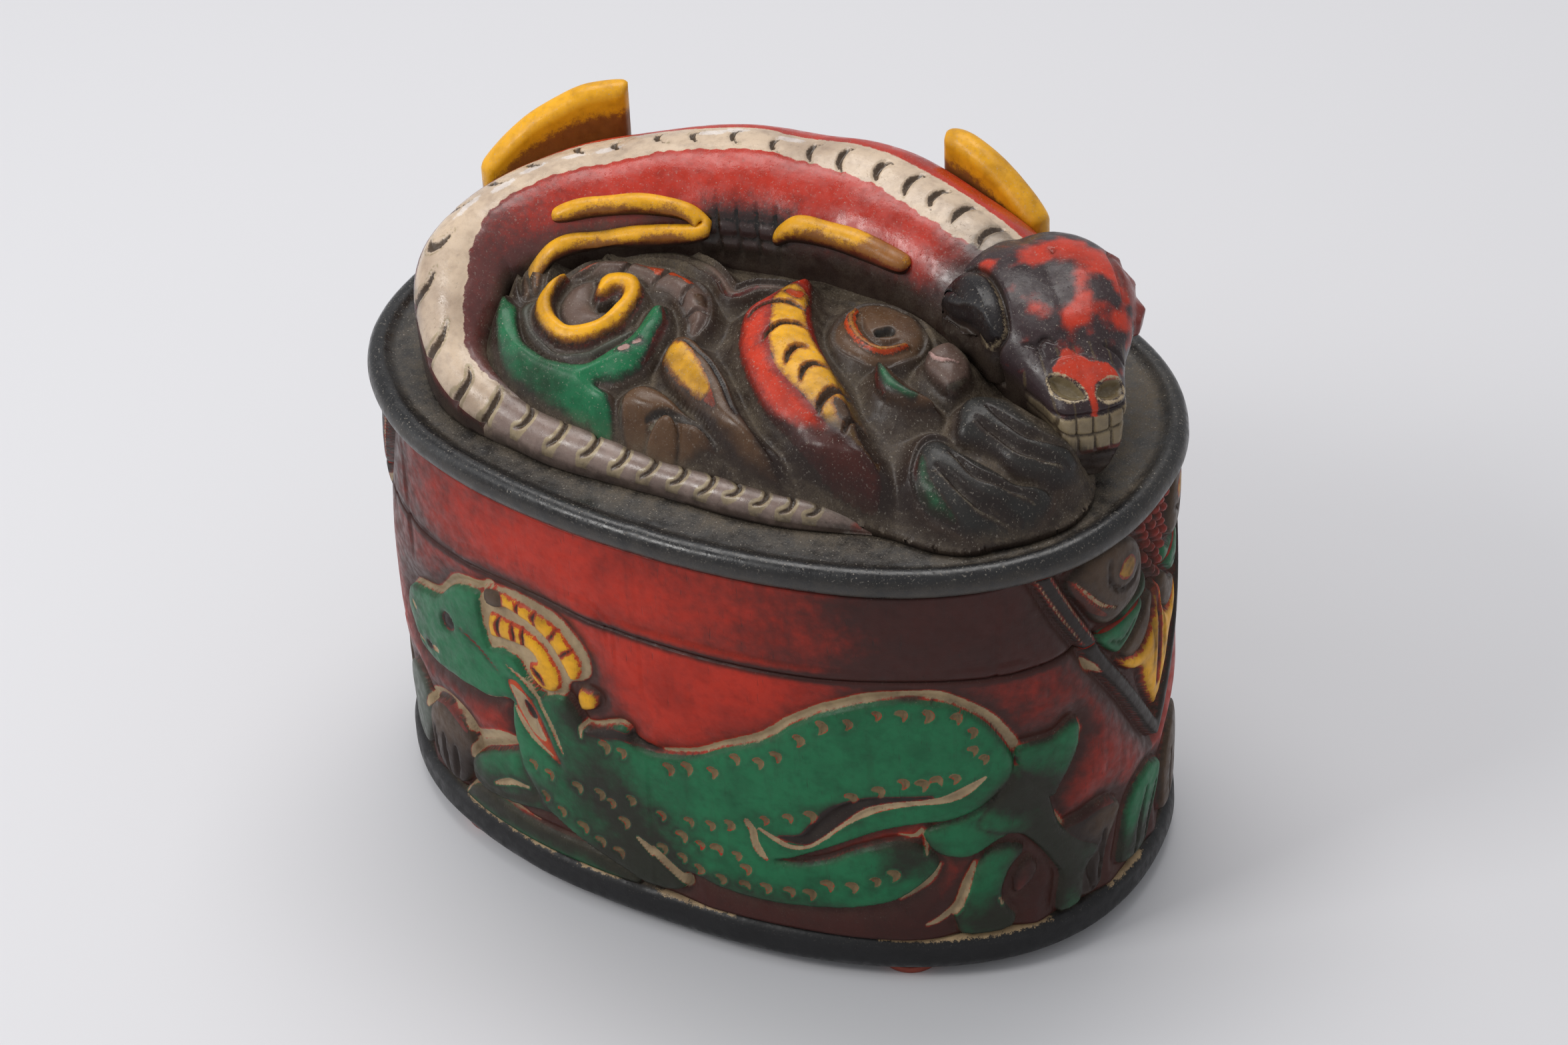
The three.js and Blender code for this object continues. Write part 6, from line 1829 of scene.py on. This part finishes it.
class CARVED_OT_head(bpy.types.Operator):
    """Carve the beast's head"""

    bl_idname = "carved_box.head"
    bl_label = "Beast head"

    def execute(self, context):
        stations = [(*on_head(p, q), BOARD_TOP + rise, half, half * CROWN) for p, q, rise, half in HEAD_LINE]
        blank, places, way = swept("blank", stations, 72, 120, DEEP_FLOOR, 0.6, turn_in=0.4)
        up = np.maximum(np.cos(way.turn), 0)
        boxy = 1 + 0.16 * np.abs(np.sin(2 * way.turn)) * (up > 0)
        core = places - plan(way.aside[:, 0], way.aside[:, 1], way.half * CROWN * up)
        write_places(blank, core + (places - core) * boxy[:, None])
        lumps = [
            blank,
            pod(-3.6, -11.9, 20.2, (8.8, 4.0, 5.0), 0.5, 0.5), pod(-5.0, -9.4, 22.4, (8.6, 3.4, 3.2), 0.46, 0.2),
            pod(-5.2, 13.0, 21.6, (7.0, 4.4, 4.4), -0.1), pod(0.8, 13.4, 19.4, (5.0, 3.8, 3.8), -0.3, 0.4, 6),
            pod(-9.4, 12.6, 22.6, (4.6, 4.0, 3.8), 0.1, 0.3, 6),
        ]
        mesh = remeshed(joined("rough", lumps), 0.34)
        places = read_places(mesh)
        x, y = (places[:, :2] - np.array(HEAD_PLACE)).T
        p, q = x * HEAD_COS + y * HEAD_SIN, y * HEAD_COS - x * HEAD_SIN
        rise = places[:, 2] - BOARD_TOP
        points = plan(p, q)
        normals = np.empty(len(mesh.vertices) * 3)
        mesh.vertices.foreach_get("normal", normals)
        normals = normals.reshape(-1, 3)
        upward = ease(0.0, 0.45, normals[:, 2])
        forward = normals[:, 0] * HEAD_COS + normals[:, 1] * HEAD_SIN
        cuts = reach_to(points, *WRINKLES)
        star = reach_to(points, STAR)
        brows = np.where(rise > 17, reach_to(points, BROW_FAR), FAR)
        eye = np.where(rise > 13.5, reach_to(points, LID_EYE), FAR)
        nostril = np.where(rise > TEETH_TOP - 0.5, reach_to(points, *NOSTRILS), FAR)
        push = -0.8 * ease(0.2, -0.4, cuts) * upward - 0.7 * ease(0.5, -0.6, brows)
        push = push - 1.5 * ease(0.2, -0.8, nostril) * upward
        push = push + 1.5 * np.clip(-eye / 1.9, 0, 1) - 1.3 * dip(eye - 0.55, 0.5)
        push = push + 0.5 * dip(np.maximum(star, 0), 0.5) * upward * (p > 13)
        face = ease(0.1, 0.6, forward) * (p > MUZZLE)
        mouth = rise - (12.0 + 0.03 * q ** 2)
        band = ease(TEETH_TOP + 0.4, TEETH_TOP - 0.4, rise) * ease(CHIN - 0.4, CHIN + 0.6, rise)
        split = np.abs(((q + 0.35 * (mouth > 0)) / TOOTH + 0.35) % 1.0 - 0.5) * TOOTH
        push = push + band * face * (0.1 - dip(split, 0.22) * 0.5 - dip(mouth, 0.28) * 0.6)
        push = push - 0.7 * face * dip(rise - TEETH_TOP - 0.4, 0.4) * (nostril > 0)
        push = push + 0.08 * np.clip(random_field(places, 7.0, 41), -1.5, 1.5)
        places = places + normals * push[:, None]
        throat = CHIN * ease(9.5, 15.0, p)
        under = throat > rise
        places[under, 2] = np.maximum(places[under, 2], BOARD_TOP + throat[under] - 0.25 * (throat - rise)[under])
        places[:, 2] = np.maximum(places[:, 2], CARVING_SEAT)
        write_places(mesh, places)
        on_face = (p > MUZZLE) & (forward > 0.05)
        seen = normals[:, 2] > -0.1
        warm = 0.42 - blotches(points, WARM) + 0.14 * random_field(places, 3.0, 43)
        rims = np.minimum(np.abs(nostril - 0.15) - 0.12, np.abs(brows - 0.3) - 0.16)
        rims = np.minimum(rims, np.where((q > -11.4) | (p > 1), np.abs(eye - 0.15) - 0.14, FAR))
        teeth = np.maximum.reduce([rise - TEETH_TOP, CHIN + 0.5 - rise, (0.12 - forward) * 8])
        # Painted shade: darker along the cuts and brows, in the moat round the eye, and lower down the head.
        soot = 0.10 + 0.4 * np.exp(-np.abs(np.minimum(cuts, brows)) / 0.6) + 0.8 * np.exp(-np.abs(eye - 0.6) / 0.9)
        soot = soot + 0.5 * ease(19, 10, rise) * (p < 12) + 0.3 * ease(14, 7, rise)
        write_fields(
            mesh, teeth=np.where(p > MUZZLE, teeth, FAR), eye=eye - 0.1, soot=np.clip(soot, 0, 1),
            gaps=np.where(on_face, np.minimum(split - 0.16, np.abs(mouth) - 0.22), FAR),
            star=np.where(upward > 0.1, star, FAR),
            lip=np.where(on_face, np.abs(rise - CHIN + 0.5) - 0.9, FAR),
            warm=np.where(seen, warm * 6, FAR),
            lens=np.where(nostril < 0.3, nostril + 0.1, FAR),
            rims=np.where(seen & (q < 9), rims, FAR),
            pods=np.where((q > 11.5) & (rise > 15) & (p < 7), 13.2 - q, FAR),
        )
        finish = lacquered("Beast head lacquer", (0.036, 0.022, 0.024), [
            ("warm", (0.50, 0.034, 0.012), 1.6, 1.9),
            ("pods", (0.20, 0.030, 0.022), 0.9, 0.4),
            ("eye", (0.012, 0.010, 0.011), 0.3, 0.12),
            ("teeth", (0.27, 0.21, 0.125), 0.5, 0.2),
            ("gaps", (0.085, 0.06, 0.035), 0.25, 0.12),
            ("lip", (0.16, 0.030, 0.022), 0.9, 0.3),
            ("star", (0.50, 0.040, 0.015), 0.7, 0.25),
            ("lens", (0.20, 0.155, 0.085), 0.4, 0.15),
            ("rims", (0.48, 0.38, 0.24), 0.5, 0.12),
        ], gloss=0.25, grain=0.1, fields=LACQUER_FIELDS, dust=0.4, specks=0.9, shine=0.32)
        settle("beast_head_carved", mesh, "lid", ["beast_head"], finish)
        return {"FINISHED"}


LID_PIECES = (
    "lid_board_carved", "beast_body_carved", "leg_near_hind_carved", "leg_near_fore_carved", "leg_far_hind_carved",
    "leg_far_fore_carved", "scroll_carving", "beast_head_carved",
)
MAP_PITCH = 0.5


def softened(image, reach):
    """An image blurred by a bell of that reach, in cells."""
    span = int(reach * 3)
    bell = np.exp(-0.5 * (np.arange(-span, span + 1) / reach) ** 2)
    bell /= bell.sum()
    for axis in (0, 1):
        padded = np.pad(image, [(span, span) if axis == way else (0, 0) for way in (0, 1)], mode="edge")
        image = np.apply_along_axis(lambda row: np.convolve(row, bell, mode="valid"), axis, padded)
    return image


class CARVED_OT_dust(bpy.types.Operator):
    """Find the hollows of the lid, where dust has settled and where painted shade darkens them"""

    bl_idname = "carved_box.dust"
    bl_label = "Dust in the hollows"

    def execute(self, context):
        pieces = [bpy.data.objects[name] for name in LID_PIECES]
        clouds = [read_places(piece.data) / MM for piece in pieces]
        every = np.vstack(clouds)
        low = every[:, :2].min(axis=0) - 2
        count = np.ceil((every[:, :2].max(axis=0) + 2 - low) / MAP_PITCH).astype(int)
        top = np.full(count[0] * count[1], BOARD_TOP)
        cell = ((every[:, :2] - low) / MAP_PITCH).astype(int)
        np.maximum.at(top, cell[:, 0] * count[1] + cell[:, 1], every[:, 2])
        top = top.reshape(count)
        near = softened(top, 2.0 / MAP_PITCH)
        broad = softened(top, 5.0 / MAP_PITCH)
        for piece, cloud in zip(pieces, clouds):
            cell = tuple(((cloud[:, :2] - low) / MAP_PITCH).astype(int).T)
            hollow = (np.clip((near[cell] - cloud[:, 2]) / 2.2, 0, 1) * 0.6
                      + np.clip((broad[cell] - cloud[:, 2]) / 6.0, 0, 1) * 0.7)
            fields = piece.data.attributes
            if "hollow" in fields:
                fields.remove(fields["hollow"])
            write_fields(piece.data, hollow=np.clip(hollow, 0, 1))
            # Painted shade: the deeper in a hollow, the darker the lid is painted.
            if "soot" in fields:
                soot = np.empty(len(cloud), dtype=np.float32)
                fields["soot"].data.foreach_get("value", soot)
                fields["soot"].data.foreach_set("value", np.clip(soot + 0.55 * hollow, 0, 1.1).astype(np.float32))
        return {"FINISHED"}


# Camera as worked out from the photograph: its place, its axes and the floor under the box

EYE_PLACE = (304.895, -530.081, 526.419)
TO_RIGHT = (0.88103, 0.47155, -0.03770)
UPWARDS = (-0.26059, 0.55030, 0.79326)
LOOKING = (-0.39481, 0.68907, -0.60771)


def lamp(name, kind, power, place, target, size, colour=(1, 1, 1), size_y=None):
    light = bpy.data.lights.new(name, kind)
    light.energy = power
    light.color = colour
    light.size = size * MM
    if size_y:
        light.shape = "RECTANGLE"
        light.size_y = size_y * MM
    holder = bpy.data.objects.new(name, light)
    bpy.context.scene.collection.objects.link(holder)
    holder.location = Vector(place) * MM
    holder.rotation_euler = (Vector(target) - Vector(place)).to_track_quat("-Z", "Y").to_euler()
    return holder


class CARVED_OT_stage(bpy.types.Operator):
    """Set up the floor, the lamps and the camera"""

    bl_idname = "carved_box.stage"
    bl_label = "Stage"

    def execute(self, context):
        settings = studio()
        scene = context.scene
        bm = bmesh.new()
        bmesh.ops.create_grid(bm, x_segments=2, y_segments=2, size=3000)
        mesh = as_mesh("floor", bm)
        write_places(mesh, read_places(mesh) * MM)
        floor_piece = bpy.data.objects.new("floor", mesh)
        scene.collection.objects.link(floor_piece)
        material = bpy.data.materials.new("Pale floor")
        material.use_nodes = True
        material.node_tree.nodes.clear()
        recipe = Recipe(material.node_tree)
        shader = recipe.add("ShaderNodeBsdfPrincipled", {"Base Color": settings.floor_colour, "Roughness": 0.9,
                                                         "Specular IOR Level": 0.1})
        recipe.add("ShaderNodeOutputMaterial", {"Surface": shader.outputs[0]})
        mesh.materials.append(material)
        centre = (0, 0, 60)
        lamp("Overhead", "AREA", settings.key_power, (-160, 260, 900), centre, 700, (1.0, 0.98, 0.96), 460)
        lamp("Side strip", "AREA", settings.side_power, (-700, -300, 420), centre, 300, (0.96, 0.98, 1.0), 900)
        lamp("Front window", "AREA", settings.front_power, (-355, -524, 660), centre, 240, (1.0, 0.99, 0.97), 240)
        world = bpy.data.worlds.new("Soft room")
        world.use_nodes = True
        world.node_tree.nodes.clear()
        recipe = Recipe(world.node_tree)
        background = recipe.add("ShaderNodeBackground", {"Color": (0.97, 0.98, 1.0), "Strength": settings.sky})
        recipe.add("ShaderNodeOutputWorld", {"Surface": background.outputs[0]})
        scene.world = world
        view = bpy.data.cameras.new("Photograph")
        view.lens = settings.lens
        view.sensor_width = 36
        view.clip_start = 0.05
        view.clip_end = 20
        camera = bpy.data.objects.new("Photograph", view)
        scene.collection.objects.link(camera)
        axes = Matrix((TO_RIGHT, UPWARDS, [-value for value in LOOKING])).transposed().to_4x4()
        camera.matrix_world = Matrix.Translation(Vector(EYE_PLACE) * MM) @ axes
        scene.camera = camera
        scene.view_settings.view_transform = "Standard"
        return {"FINISHED"}


OPERATORS = (
    CARVED_OT_base, CARVED_OT_wall, CARVED_OT_skirt, CARVED_OT_board, CARVED_OT_beast, CARVED_OT_legs,
    CARVED_OT_scrolls, CARVED_OT_head, CARVED_OT_dust, CARVED_OT_stage,
)
GROUPS = {"carved_box_sizes": BoxSizes, "carved_box_carving": CarvingSizes, "carved_box_colours": LacquerColours,
          "carved_box_studio": StudioSettings}


class CARVED_PT_panel(bpy.types.Panel):
    """Sizes, colours and the steps that build the box"""

    bl_idname = "CARVED_PT_panel"
    bl_label = "Carved Oval Box"
    bl_space_type = "VIEW_3D"
    bl_region_type = "UI"
    bl_category = "Carved Box"

    def draw(self, context):
        layout = self.layout
        for name, group in GROUPS.items():
            part = layout.box()
            for setting in group.__annotations__:
                part.prop(getattr(context.scene, name), setting)
        steps = layout.column(align=True)
        for operator in OPERATORS:
            steps.operator(operator.bl_idname)


def register():
    for group in (*GROUPS.values(), *OPERATORS, CARVED_PT_panel):
        bpy.utils.register_class(group)
    for name, group in GROUPS.items():
        setattr(bpy.types.Scene, name, PointerProperty(type=group))


def unregister():
    for name in GROUPS:
        delattr(bpy.types.Scene, name)
    for group in reversed((*GROUPS.values(), *OPERATORS, CARVED_PT_panel)):
        bpy.utils.unregister_class(group)


def main():
    register()
    for operator in OPERATORS:
        family, step = operator.bl_idname.split(".")
        getattr(getattr(bpy.ops, family), step)()


if __name__ == "__main__":
    main()
